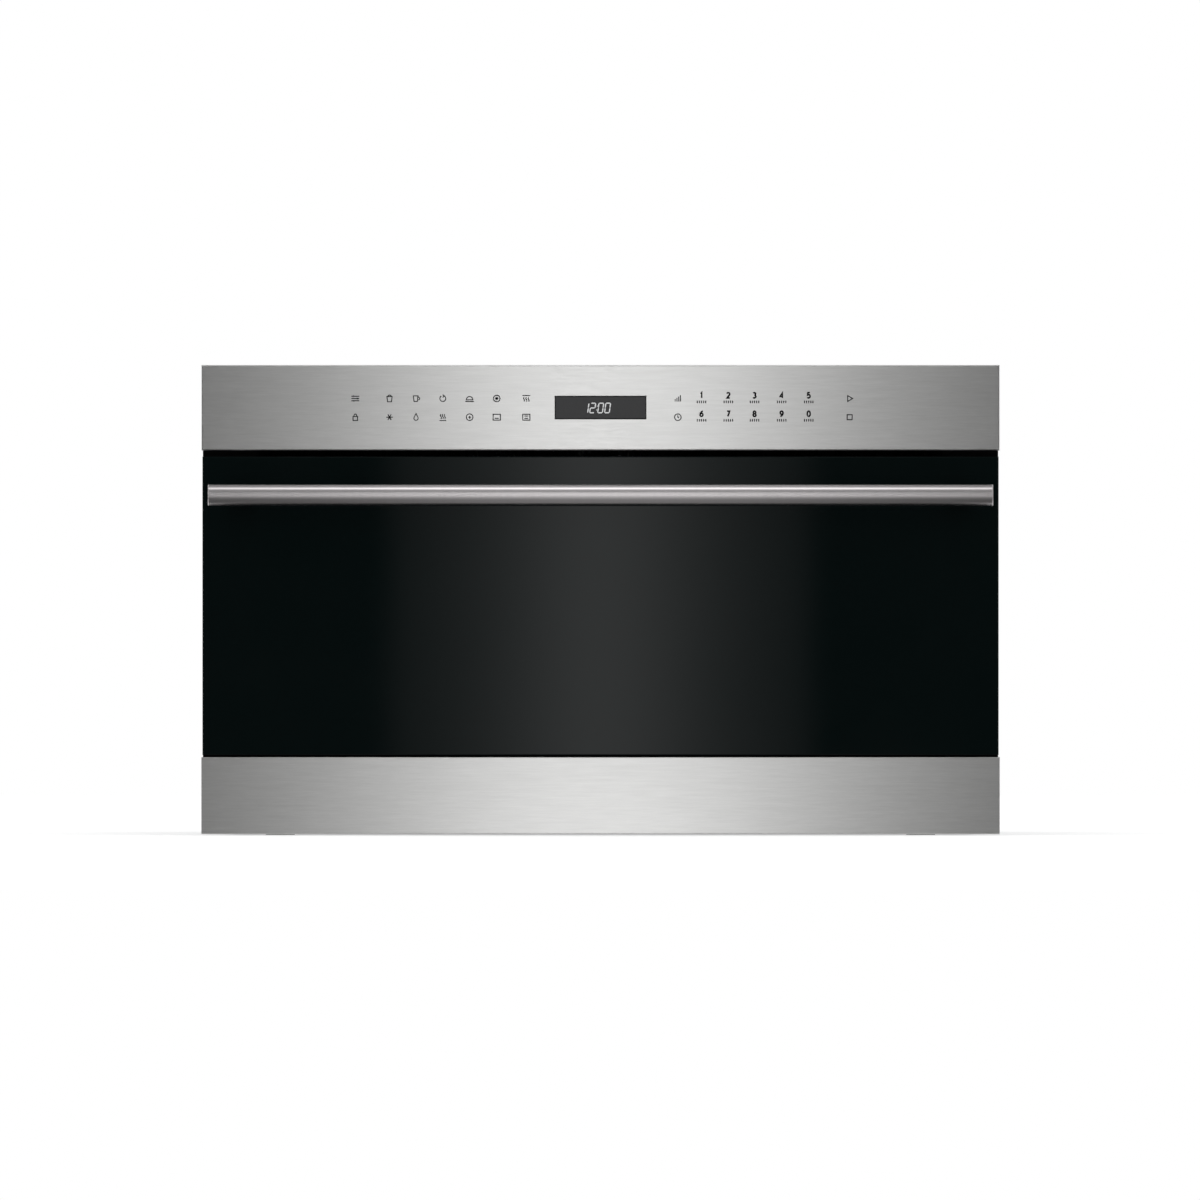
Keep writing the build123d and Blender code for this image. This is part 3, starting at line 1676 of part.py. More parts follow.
def broil_route(rear_end, inner_turn):
    """Corner points of the broil element: forward and back along each leg in turn."""
    corners = [(broil_spans[0], rear_end)]
    for index, x in enumerate(broil_spans):
        going_forward = index % 2 == 0
        if index > 0:
            corners.append((x, broil_front if not going_forward else inner_turn))
        corners.append((x, broil_front if going_forward else inner_turn))
    corners[-1] = (broil_spans[-1], rear_end)
    return [Vector(x, y_at(depth), broil_z) for x, depth in corners]


# Microwave feed

waveguide_back = waveguide_start + waveguide_length
waveguide_middle = waveguide_start + waveguide_length / 2
magnetron_face = -waveguide_width / 2
magnetron_front = waveguide_start + magnetron_start
magnetron_back = magnetron_front + magnetron_width
magnetron_u = (magnetron_front + magnetron_back) / 2
magnetron_low = ceiling_over + magnetron_rise
magnetron_z = magnetron_low + magnetron_height / 2
yoke_start = magnetron_face - magnetron_yoke_length


def waveguide():
    """Folded duct on the ceiling, open at the foot, with a welding flange and the antenna hole."""
    half = waveguide_width / 2
    top = ceiling_over + waveguide_height
    duct = block(-half, half, waveguide_start, waveguide_back, ceiling_over, top)
    duct += block(
        -half,
        half + waveguide_flange,
        waveguide_start - waveguide_flange,
        waveguide_back + waveguide_flange,
        ceiling_over,
        ceiling_over + waveguide_wall,
    )
    duct -= block(
        -half + waveguide_wall,
        half - waveguide_wall,
        waveguide_start + waveguide_wall,
        waveguide_back - waveguide_wall,
        ceiling_z,
        top - waveguide_wall,
    )
    hole = antenna_radius + antenna_hole_clearance
    return duct - rod_x(-half * 2, 0, magnetron_u, magnetron_z, hole)


def feed_cover():
    """Thin insulating sheet over the feed slot, on the cavity side of the ceiling."""
    half_width = feed_slot_width / 2 + feed_cover_overlap
    half_length = feed_slot_length / 2 + feed_cover_overlap
    return block(
        -half_width,
        half_width,
        waveguide_middle - half_length,
        waveguide_middle + half_length,
        ceiling_z - feed_cover_thickness,
        ceiling_z,
    )


def magnetron():
    """Open yoke round two ring magnets, the finned anode, the filter box and the domed antenna."""
    sheet = magnetron_yoke_sheet
    high = magnetron_low + magnetron_height
    tube = block(yoke_start, magnetron_face, magnetron_front, magnetron_back, magnetron_low, high)
    tube -= block(
        yoke_start + sheet,
        magnetron_face - sheet,
        magnetron_front - overcut,
        magnetron_back + overcut,
        magnetron_low + sheet,
        high - sheet,
    )
    left = yoke_start + sheet
    right = magnetron_face - sheet
    tube += rod_x(left, left + magnet_height, magnetron_u, magnetron_z, magnet_radius)
    tube += rod_x(right - magnet_height, right, magnetron_u, magnetron_z, magnet_radius)
    tube += rod_x(left, right, magnetron_u, magnetron_z, anode_radius)
    fin_room = right - left - magnet_height * 2
    pitch = fin_room / (anode_fins + 1)
    for offset_x in slot_row(anode_fins, pitch):
        x = (left + right) / 2 + offset_x
        half = anode_fin_sheet / 2
        tube += block(
            x - half,
            x + half,
            magnetron_front + sheet,
            magnetron_back - sheet,
            magnetron_low + sheet,
            high - sheet,
        )
    box = block(
        yoke_start - magnetron_box_length,
        yoke_start,
        magnetron_front + filter_box_inset,
        magnetron_back - filter_box_inset,
        magnetron_low + filter_box_inset,
        high - filter_box_inset,
    )
    tube += fillet(box.edges().filter_by(Axis.X), filter_box_inset / 2)
    antenna_end = magnetron_face + antenna_reach
    antenna = rod_x(magnetron_face, antenna_end, magnetron_u, magnetron_z, antenna_radius)
    tip = antenna.edges().sort_by(Axis.X)[-1]
    return tube + fillet(tip, antenna_radius * antenna_dome)


# Power supply

supply_back = rear_inner - supply_back_gap


def power_transformer():
    """Laminated core on a foot plate, with the rounded windings standing out in front and behind."""
    x0 = transformer_x - transformer_width / 2
    x1 = transformer_x + transformer_width / 2
    core_back = supply_back - transformer_coil_reach
    core_front = core_back - transformer_depth
    foot_top = base_top + transformer_foot_sheet
    body = block(x0, x1, core_front, core_back, foot_top, base_top + transformer_height)
    body += block(
        x0 - transformer_foot,
        x1 + transformer_foot,
        core_front,
        core_back,
        base_top,
        foot_top,
    )
    margin = transformer_coil_inset
    coil = block(
        x0 + margin,
        x1 - margin,
        core_front - transformer_coil_reach,
        supply_back,
        foot_top + margin,
        base_top + transformer_height - margin,
    )
    return body + fillet(coil.edges(), transformer_coil_radius)


def capacitor():
    """Oval can with a rolled rim and two blade tabs."""
    depth = supply_back - capacitor_depth / 2
    oval = SlotOverall(capacitor_width, capacitor_depth)
    can = Pos(capacitor_x, y_at(depth), 0) * plate_z(oval, base_top, capacitor_height)
    lid = SlotOverall(capacitor_width - capacitor_rim * 2, capacitor_depth - capacitor_rim * 2)
    tab_low = base_top + capacitor_height - capacitor_recess
    can -= Pos(capacitor_x, y_at(depth), 0) * plate_z(lid, tab_low, capacitor_recess * 2)
    front = depth - capacitor_tab_width / 2
    for offset_x in slot_row(2, capacitor_tab_spacing):
        left = capacitor_x + offset_x - capacitor_tab_sheet / 2
        right = left + capacitor_tab_sheet
        can += block(left, right, front, front + capacitor_tab_width, tab_low, tab_low + capacitor_tab_height)
    return can


# Cooling blower

spiral_start = blower_wheel_radius + blower_tongue_gap
spiral_end = spiral_start + blower_growth
blower_wheel_height = blower_height - blower_inlet_gap * 2
blower_x = (magnetron_face + yoke_start) / 2 + (spiral_start + spiral_end) / 2
blower_low = ceiling_over + blower_motor_height
outlet_u = blower_start - blower_outlet_length


def spiral_outline(wall):
    """Snail-shaped face grown by a wall: its radius grows evenly over one turn, then the outlet leaves."""
    points = []
    for index in range(blower_spiral_points + 1):
        turn = index / blower_spiral_points
        radius = spiral_start + wall + blower_growth * turn
        points.append((radius * cos(2 * pi * turn), radius * sin(2 * pi * turn)))
    snail = make_face(Spline(*points) + Line(points[-1], points[0]))
    middle = (spiral_start + spiral_end) / 2
    length = blower_outlet_length + wall
    outlet = Pos(middle, length / 2 - wall) * Rectangle(blower_growth + wall * 2, length + wall)
    return snail + outlet


def blower_housing():
    """Scroll shell with a round inlet above, a shaft hole below and its outlet towards the magnetron."""
    inside = spiral_outline(0)
    outside = spiral_outline(blower_wall)
    shell = extrude(outside, amount=blower_height, dir=(0, 0, 1))
    middle = (spiral_start + spiral_end) / 2
    through = blower_wall + overcut * 2
    run_out = Pos(middle, blower_outlet_length) * Rectangle(blower_growth, through)
    hollow = extrude(inside + run_out, amount=blower_height - blower_wall * 2, dir=(0, 0, 1))
    shell -= Pos(0, 0, blower_wall) * hollow
    shell -= Pos(0, 0, blower_height) * Cylinder(blower_inlet_radius, through * 2)
    shell -= Cylinder(blower_shaft_radius + blower_shaft_hole_clearance, through * 2)
    return Pos(blower_x, y_at(blower_start), blower_low) * Rot(0, 0, 180) * shell


def blower_wheel():
    """Drum of forward-curved blades between a back plate and a rim ring, with hub and shaft."""
    sheet = blower_blade_sheet
    wheel = Pos(0, 0, sheet / 2) * Cylinder(blower_wheel_radius, sheet)
    inner = blower_wheel_radius - blower_blade_chord
    curve = blower_blade_chord
    strip = Circle(curve + sheet / 2) - Circle(curve - sheet / 2)
    strip = Pos((blower_wheel_radius + inner) / 2, -curve) * strip
    band = Circle(blower_wheel_radius - sheet / 2) - Circle(inner)
    sector = Pos((blower_wheel_radius + inner) / 2, 0) * Rectangle(blower_blade_chord, blower_blade_chord)
    blade = extrude(strip & band & sector, amount=blower_wheel_height - sheet, dir=(0, 0, 1))
    blade = Pos(0, 0, sheet / 2) * blade
    blades = [Rot(0, 0, index * 360 / blower_blades) * blade for index in range(blower_blades)]
    wheel += blades
    ring = Circle(blower_wheel_radius) - Circle(inner)
    wheel += Pos(0, 0, blower_wheel_height - sheet * 2) * extrude(ring, amount=sheet * 2, dir=(0, 0, 1))
    wheel += Pos(0, 0, blower_hub_height / 2) * Cylinder(blower_hub_radius, blower_hub_height)
    depth = blower_shaft_depth + blower_inlet_gap
    wheel += Pos(0, 0, -depth / 2) * Cylinder(blower_shaft_radius, depth)
    return Pos(blower_x, y_at(blower_start), blower_low + blower_inlet_gap) * wheel


def blower_motor():
    """Round motor on three feet under the scroll, with a bore for the wheel's shaft."""
    motor = rod_z(blower_x, blower_start, ceiling_over, blower_low, blower_motor_radius)
    foot = Box(blower_motor_foot * 2, blower_motor_foot, blower_motor_foot_sheet)
    foot = Pos(blower_motor_radius, 0, blower_motor_foot_sheet / 2) * foot
    for index in range(blower_motor_feet):
        turn = Rot(0, 0, 90 + index * 360 / blower_motor_feet)
        motor += Pos(blower_x, y_at(blower_start), ceiling_over) * turn * foot
    bore_low = blower_low - blower_motor_height / 2
    bore_radius = blower_shaft_radius + blower_shaft_fit
    return motor - rod_z(blower_x, blower_start, bore_low, blower_low + overcut, bore_radius)


def duct_section(depth, width, low, height, thickness):
    """Rectangle across the air path at a depth, grown by a wall thickness on every side."""
    middle = (magnetron_face + yoke_start) / 2
    plane = Plane(origin=(middle, y_at(depth), low + height / 2), x_dir=(1, 0, 0), z_dir=(0, -1, 0))
    return plane * Rectangle(width + thickness * 2, height + thickness * 2)


def air_duct():
    """Tapered duct from the blower's outlet to the open side of the magnetron."""
    wall = blower_wall
    near = outlet_u - duct_joint_gap - wall
    far = magnetron_back + duct_joint_gap
    near_size = (blower_growth, blower_low + wall, blower_height - wall * 2)
    far_size = (magnetron_yoke_length - wall * 2, magnetron_low + wall, magnetron_height - wall * 2)
    outer = loft([duct_section(near, *near_size, wall), duct_section(far, *far_size, wall)])
    inner = loft([duct_section(near, *near_size, 0), duct_section(far, *far_size, 0)])
    return outer - inner


def right_and_left(shape, name):
    """A handed piece under its name for each side."""
    return {name + "_right": shape, name + "_left": mirrored(shape)}


pieces = {
    "control_fascia": control_fascia(),
    "display_lens": display_lens(),
    "key_board": key_board(),
    "relay_board": relay_board(),
    "exhaust_grille": exhaust_grille(),
    "lower_trim": lower_trim(),
    "front_frame": front_frame(),
    "door_glass": door_glass(),
    "door_frame": door_frame(),
    "choke_frame": choke_frame(),
    "inner_glass": inner_glass(),
    "door_screen": door_screen(),
    "handle_bar": handle_bar(),
    "handle_posts": pair(handle_post()),
    "handle_screws": pair(handle_screw()),
    "hinge_brackets": pair(hinge_bracket()),
    "hinge_leaves": pair(hinge_leaf()),
    "hinge_pins": pair(hinge_pin()),
    "door_stays": pair(door_stay()),
    "stay_guides": pair(stay_guide()),
    "interlock_fingers": pair(interlock_finger()),
    "switch_housings": pair(switch_housing()),
    "base_pan": base_pan(),
    "feet": feet(),
    "top_cover": top_cover(),
    "rear_panel": rear_panel(),
    "cable_bushing": cable_bushing(),
    "terminal_block": terminal_block(),
    "chassis_screws": chassis_screws(),
    "cavity_floor": cavity_floor(),
    "cavity_ceiling": cavity_ceiling(),
    "cavity_wall_right": cavity_right(),
    "cavity_wall_left": mirrored(side_wall()),
    "cavity_wall_rear": cavity_rear(),
    "insulation_blanket": insulation_blanket(),
    "lamp_lens": lamp_lens(),
    "oven_lamp": oven_lamp(),
    "temperature_sensor": temperature_sensor(),
    "turntable_motor": turntable_motor(),
    "turntable_drive": turntable_drive(),
    "turntable_support": turntable_support(),
    "turntable_tray": turntable_tray(),
    "convection_housing": convection_housing(),
    "convection_wheel": convection_wheel(),
    "convection_motor": convection_motor(),
    "convection_element": convection_element(),
    "broil_element": broil_element(),
    "waveguide": waveguide(),
    "feed_cover": feed_cover(),
    "magnetron": magnetron(),
    "power_transformer": power_transformer(),
    "capacitor": capacitor(),
    "blower_housing": blower_housing(),
    "blower_wheel": blower_wheel(),
    "blower_motor": blower_motor(),
    "air_duct": air_duct(),
}
pieces |= right_and_left(side_panel(), "side_panel")
pieces |= right_and_left(interlock_plunger(), "interlock_plunger")

os.makedirs("parts", exist_ok=True)
for name, shape in pieces.items():
    export_step(shape, "parts/" + name + ".step")
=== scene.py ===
# %% [markdown]
# # A built-in speed oven, dressed for its picture
# The solids of the oven arrive from the CAD model with their real shapes and sizes.
# This lesson gives them their finishes, prints the marks of the control panel,
# and sets up the studio in which the oven is photographed.
# Everything is in metres: X to the right as one faces the oven, -Y out of its front, +Z up.

# %% Load the solids, and a helper that reads a solid's box
import bmesh
import bpy
import numpy as np
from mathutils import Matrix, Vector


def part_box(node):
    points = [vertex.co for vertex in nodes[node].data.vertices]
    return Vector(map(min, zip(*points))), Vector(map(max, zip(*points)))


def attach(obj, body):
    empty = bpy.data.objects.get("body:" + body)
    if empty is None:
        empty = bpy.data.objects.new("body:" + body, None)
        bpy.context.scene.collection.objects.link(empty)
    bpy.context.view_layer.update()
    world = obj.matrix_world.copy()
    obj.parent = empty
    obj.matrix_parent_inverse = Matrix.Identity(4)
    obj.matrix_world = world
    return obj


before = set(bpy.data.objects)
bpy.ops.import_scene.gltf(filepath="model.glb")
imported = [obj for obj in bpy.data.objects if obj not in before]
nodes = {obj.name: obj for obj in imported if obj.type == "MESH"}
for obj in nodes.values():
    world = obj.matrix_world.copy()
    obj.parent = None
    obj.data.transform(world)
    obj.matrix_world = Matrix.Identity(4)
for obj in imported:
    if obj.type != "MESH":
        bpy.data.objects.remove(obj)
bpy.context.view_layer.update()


# %% [markdown]
# ## Colours
# Colours are read off the real finishes on the usual 0 to 255 screen scale.
# Blender's shaders want linear light, so one helper converts them with the standard screen curve.

# %% From screen values to linear light
def screen(red, green, blue):
    """Linear colour of a screen colour.

    A value is first divided by 255. Up to 0.04045 it is then divided by 12.92.
    Above that, 0.055 is added, the sum is divided by 1.055, and that is raised to the power 2.4.
    """
    values = np.array([red, green, blue]) / 255
    curved = ((values + 0.055) / 1.055) ** 2.4
    linear = np.where(values <= 0.04045, values / 12.92, curved)
    return (*linear.tolist(), 1.0)


print("a middle grey in linear light:", screen(128, 128, 128))

# %% [markdown]
# ## The camera
# The picture looks square at the front from far away, so that nothing converges.
# A long lens does this. The field of view is set from the width that the picture takes in
# at the face of the door: 1200 pixels of 0.947 mm.

# %% Place the camera
DOOR_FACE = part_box("door_glass")[0][1]
PICTURE_PIXELS = 1200
PIXEL = 0.000947
CAMERA_DISTANCE = 36.0
CAMERA_HEIGHT = 0.22295
CAMERA_X = -0.0005
CAMERA_REACH = 100.0
SENSOR_WIDTH = 36.0

lens = bpy.data.cameras.new("camera")
lens.sensor_width = SENSOR_WIDTH
lens.lens = SENSOR_WIDTH * CAMERA_DISTANCE / (PICTURE_PIXELS * PIXEL)
lens.clip_end = CAMERA_REACH
camera = bpy.data.objects.new("camera", lens)
camera.location = (CAMERA_X, DOOR_FACE - CAMERA_DISTANCE, CAMERA_HEIGHT)
camera.rotation_euler = (np.pi / 2, 0.0, 0.0)
bpy.context.scene.collection.objects.link(camera)
bpy.context.scene.camera = camera
bpy.context.scene.view_settings.view_transform = "Standard"
print("lens:", round(lens.lens, 1), "mm")


# %% [markdown]
# ## Meshes from arrays
# Every new piece is worked out as whole numpy arrays: points, and faces that name them by number.
# One helper hands the arrays to Blender. Where a piece is a closed shell, its faces are turned outwards.

# %% A mesh from points and four-cornered faces
def quads_to_object(name, points, quads, closed=True):
    """Object at the origin whose mesh has these points and quads; a closed shell gets outward faces."""
    mesh = bpy.data.meshes.new(name)
    points = np.asarray(points, dtype=np.float32).reshape(-1, 3)
    quads = np.asarray(quads, dtype=np.int32).reshape(-1, 4)
    mesh.vertices.add(len(points))
    mesh.vertices.foreach_set("co", points.ravel())
    mesh.loops.add(quads.size)
    mesh.loops.foreach_set("vertex_index", quads.ravel())
    mesh.polygons.add(len(quads))
    mesh.polygons.foreach_set("loop_start", np.arange(len(quads), dtype=np.int32) * 4)
    mesh.update(calc_edges=True)
    mesh.validate()
    if closed:
        shell = bmesh.new()
        shell.from_mesh(mesh)
        bmesh.ops.recalc_face_normals(shell, faces=shell.faces)
        shell.to_mesh(mesh)
        shell.free()
    piece = bpy.data.objects.new(name, mesh)
    bpy.context.scene.collection.objects.link(piece)
    return piece


print("mesh helper ready")


# %% [markdown]
# ## Materials
# Most finishes share the same skeleton: a Principled shader, and noise on Object coordinates
# that shifts its colour, roughness and bump a little. A Mapping node stretches the noise,
# so the same skeleton gives brushed grain, rolled sheet, enamel and cast metal.
# Scales are given in features per metre: one number for an even grain, three for a stretched one.
# The Mix node holds sockets of the same name for numbers, vectors and colours,
# so its colour sockets are picked by their place in the list.

# %% Nodes by name, wired by socket names
NOISE_LOW = 0.3
NOISE_HIGH = 0.7
NOISE_ROUGHNESS = 0.6
MIX_FIRST, MIX_SECOND, MIX_RESULT = 6, 7, 2
made = {}


def plug(tree, node, inputs):
    """Link each listed input of a node to an output, or give it a value."""
    for socket, value in inputs.items():
        if isinstance(value, bpy.types.NodeSocket):
            tree.links.new(value, node.inputs[socket])
        else:
            node.inputs[socket].default_value = value


def wire(tree, kind, inputs=None, **settings):
    """Outputs of a new node of a kind, with its settings and its inputs."""
    node = tree.nodes.new(kind)
    for key, value in settings.items():
        setattr(node, key, value)
    plug(tree, node, inputs or {})
    return node.outputs


def maths(tree, operation, *values):
    """Result of a Math node; each value is a number or another node's output."""
    return wire(tree, "ShaderNodeMath", dict(enumerate(values)), operation=operation)[0]


def vector_maths(tree, operation, *values):
    """Outputs of a Vector Math node; each value is a vector or another node's output."""
    return wire(tree, "ShaderNodeVectorMath", dict(enumerate(values)), operation=operation)


def mixed(tree, factor, first, second):
    """Colour that is the first at factor 0 and the second at factor 1."""
    colours = {"Factor": factor, MIX_FIRST: first, MIX_SECOND: second}
    return wire(tree, "ShaderNodeMix", colours, data_type="RGBA")[MIX_RESULT]


def object_place(tree):
    """Object coordinates of the point that is shaded, as one vector."""
    return wire(tree, "ShaderNodeTexCoord")["Object"]


def object_axes(tree):
    """Object coordinates of the point that is shaded, one output for each axis."""
    return wire(tree, "ShaderNodeSeparateXYZ", {"Vector": object_place(tree)})


def stretched_noise(tree, stretch, detail=4.0):
    """Noise between 0 and 1 on Object coordinates, its scale given along each axis."""
    scale = np.broadcast_to(stretch, 3).astype(float).tolist()
    mapped = wire(tree, "ShaderNodeMapping", {"Vector": object_place(tree), "Scale": scale})[0]
    grain = {"Vector": mapped, "Scale": 1.0, "Detail": detail, "Roughness": NOISE_ROUGHNESS}
    return wire(tree, "ShaderNodeTexNoise", grain)["Fac"]


def between(tree, factor, low, high):
    """Value that runs from low to high as the factor crosses the middle range, where noise lives."""
    ends = {"From Min": NOISE_LOW, "From Max": NOISE_HIGH, "To Min": low, "To Max": high}
    return wire(tree, "ShaderNodeMapRange", {"Value": factor, **ends})["Result"]


def shaded(tree, factor, dark, light):
    """Colour that runs from dark to light with the factor."""
    return mixed(tree, between(tree, factor, 0.0, 1.0), dark, light)


def bumped(tree, height, distance):
    """Normal bent by a height between 0 and 1 that stands for a real distance in metres."""
    return wire(tree, "ShaderNodeBump", {"Height": height, "Distance": distance})["Normal"]


def new_material(name):
    """Tree and shader of an empty material, which is also kept by its name."""
    material = bpy.data.materials.new(name)
    material.use_nodes = True
    made[name] = material
    return material.node_tree, material.node_tree.nodes["Principled BSDF"]


def varied(tree, factor, colour, change):
    """Colour that the factor makes darker and lighter than itself by a share, the change."""
    dark, light = ([value * share for value in colour[:3]] for share in (1 - change, 1 + change))
    return shaded(tree, factor, (*dark, 1.0), (*light, 1.0))


def surface(name, colour, metal, roughness, stretch, change, rough_change, bump=0.0, gloss=0.5):
    """Finish whose colour, roughness and height all follow one stretched noise."""
    tree, shader = new_material(name)
    grain = stretched_noise(tree, stretch)
    inputs = {
        "Base Color": varied(tree, grain, screen(*colour), change),
        "Roughness": between(tree, grain, roughness - rough_change, roughness + rough_change),
        "Metallic": metal,
        "Specular IOR Level": gloss,
    }
    if bump:
        inputs["Normal"] = bumped(tree, grain, bump)
    plug(tree, shader, inputs)


print("material helpers ready")


# %% [markdown]
# ## Brushed stainless steel
# The fascia and the trim are stainless sheet, rubbed along its length with a belt.
# The belt leaves short fine scratches, so the sheet mirrors almost sharply from side to side
# and softly up and down. Noise stretched along X gives the scratches themselves.
# The shader's anisotropy gives the two softnesses: it blurs most along its tangent,
# so the tangent has to lie across the grain. The cross product of the face's direction
# and the grain's direction is such a line on the front, on top and below.
# The grain gets a slight tilt, because the side faces look straight along it and would have no such line.
#
# The handle is a bar ground round its circumference while it turned in a lathe.
# Its grain runs the other way: rings, so close that the bar looks smooth, and a blur along its length.
# Turning the tangent by a quarter gives that blur.

# %% Brushed finishes
GRAIN = (1.0, 0.05, 0.0)
ALONG_SHEET = (85.0, 1250.0, 1250.0)
ALONG_SHEET_BROAD = (21.0, 375.0, 375.0)
ROUND_BAR = (1600.0, 90.0, 90.0)
ROUND_BAR_BROAD = (260.0, 12.0, 12.0)


def brushed(name, colour, roughness, anisotropy, fine_scale, broad_scale, relief, change, turned):
    """Metal with fine scratches in the bump and roughness, and longer faint ones in the colour.

    The colour runs from one minus the change to one plus the change, the roughness by a third of that.
    """
    tree, shader = new_material(name)
    fine = stretched_noise(tree, fine_scale, detail=3.0)
    broad = stretched_noise(tree, broad_scale, detail=2.0)
    middle = maths(tree, "MULTIPLY", maths(tree, "ADD", fine, broad), 0.5)
    face = wire(tree, "ShaderNodeNewGeometry")["Normal"]
    across = vector_maths(tree, "CROSS_PRODUCT", face, GRAIN)[0]
    plug(
        tree,
        shader,
        {
            "Base Color": varied(tree, middle, screen(*colour), change),
            "Roughness": between(tree, fine, roughness - change / 3, roughness + change / 3),
            "Normal": bumped(tree, fine, relief),
            "Tangent": vector_maths(tree, "NORMALIZE", across)[0],
            "Metallic": 1.0,
            "Anisotropic": anisotropy,
            "Anisotropic Rotation": turned,
        },
    )


brushed(
    "brushed_stainless",
    (195, 195, 194),
    roughness=0.32,
    anisotropy=0.5,
    fine_scale=ALONG_SHEET,
    broad_scale=ALONG_SHEET_BROAD,
    relief=0.000002,
    change=0.07,
    turned=0.0,
)
brushed(
    "handle_metal",
    (206, 202, 203),
    roughness=0.32,
    anisotropy=0.4,
    fine_scale=ROUND_BAR,
    broad_scale=ROUND_BAR_BROAD,
    relief=0.0000005,
    change=0.02,
    turned=0.25,
)
print("brushed finishes:", list(made))

# %% [markdown]
# ## Glass
# The door's outer pane is clear glass painted black on its back, so it looks black and mirrors sharply.
# A nearly black green tint is what the eye sees through the pane's own thickness.
# The inner pane and the lamp's lens are clear, with a little dust.

# %% Black and clear glass
tree, shader = new_material("black_glass")
ripple = stretched_noise(tree, 9.0, detail=2.0)
plug(
    tree,
    shader,
    {
        "Base Color": shaded(tree, ripple, screen(7, 15, 15), screen(9, 16, 16)),
        "Roughness": between(tree, ripple, 0.05, 0.07),
        "IOR": 1.45,
        "Specular IOR Level": 0.112,
    },
)

tree, shader = new_material("clear_glass")
dust = stretched_noise(tree, 60.0)
plug(
    tree,
    shader,
    {
        "Base Color": screen(225, 232, 230),
        "Roughness": between(tree, dust, 0.02, 0.06),
        "IOR": 1.5,
        "Transmission Weight": 1.0,
    },
)
print("glass:", list(made)[-2:])

# %% [markdown]
# ## Galvanised sheet
# The zinc on galvanised sheet shows faint crystals under a dull skin of oxide.
# The crystals are the cells of a Voronoi pattern, mixed with a slow cloud.
# The rear panel's inner side, the one that faces forward, carries painted shade: it is painted near black,
# so the light that falls in through the air slots of the front doesn't come back.

# %% Galvanised sheet, bare and with painted shade inside
CRYSTAL_SCALE = 170.0
CRYSTAL_SHARE = 0.35
CLOUD_SCALE = 14.0
FORWARD = (0.0, -1.0, 0.0)
FACING_FORWARD = 0.5


def galvanised_sheet(name, shade_painted_inside):
    """Zinc skin; with shade painted inside, the sheet is painted near black where a face's direction, dotted
    with forward, is over a half.
    """
    tree, shader = new_material(name)
    pattern = {"Vector": object_place(tree), "Scale": CRYSTAL_SCALE}
    crystals = wire(tree, "ShaderNodeTexVoronoi", pattern)["Color"]
    cell = wire(tree, "ShaderNodeSeparateColor", {"Color": crystals})[0]
    cloud = stretched_noise(tree, CLOUD_SCALE, detail=5.0)
    cell_part = maths(tree, "MULTIPLY", cell, CRYSTAL_SHARE)
    blotch = maths(tree, "MULTIPLY_ADD", cloud, 1 - CRYSTAL_SHARE, cell_part)
    tone = shaded(tree, blotch, screen(168, 171, 174), screen(186, 188, 190))
    if shade_painted_inside:
        face = wire(tree, "ShaderNodeNewGeometry")["True Normal"]
        forward = vector_maths(tree, "DOT_PRODUCT", face, FORWARD)["Value"]
        # painted shade: faces that look forward get a near-black colour in place of the zinc
        tone = mixed(tree, maths(tree, "GREATER_THAN", forward, FACING_FORWARD), tone, screen(12, 12, 13))
    plug(
        tree,
        shader,
        {
            "Base Color": tone,
            "Roughness": between(tree, blotch, 0.44, 0.52),
            "Normal": bumped(tree, blotch, 0.00001),
            "Metallic": 0.6,
        },
    )


galvanised_sheet("galvanised", shade_painted_inside=False)
galvanised_sheet("galvanised_painted_shade_inside", shade_painted_inside=True)
print("galvanised:", list(made)[-2:])

# %% [markdown]
# ## Enamel, plastic, plated metal and the rest
# Enamel is black with a slight orange peel, the cavity's stainless is finely rolled,
# and the moulded parts have a fine even grain. Each row of the table is one finish.

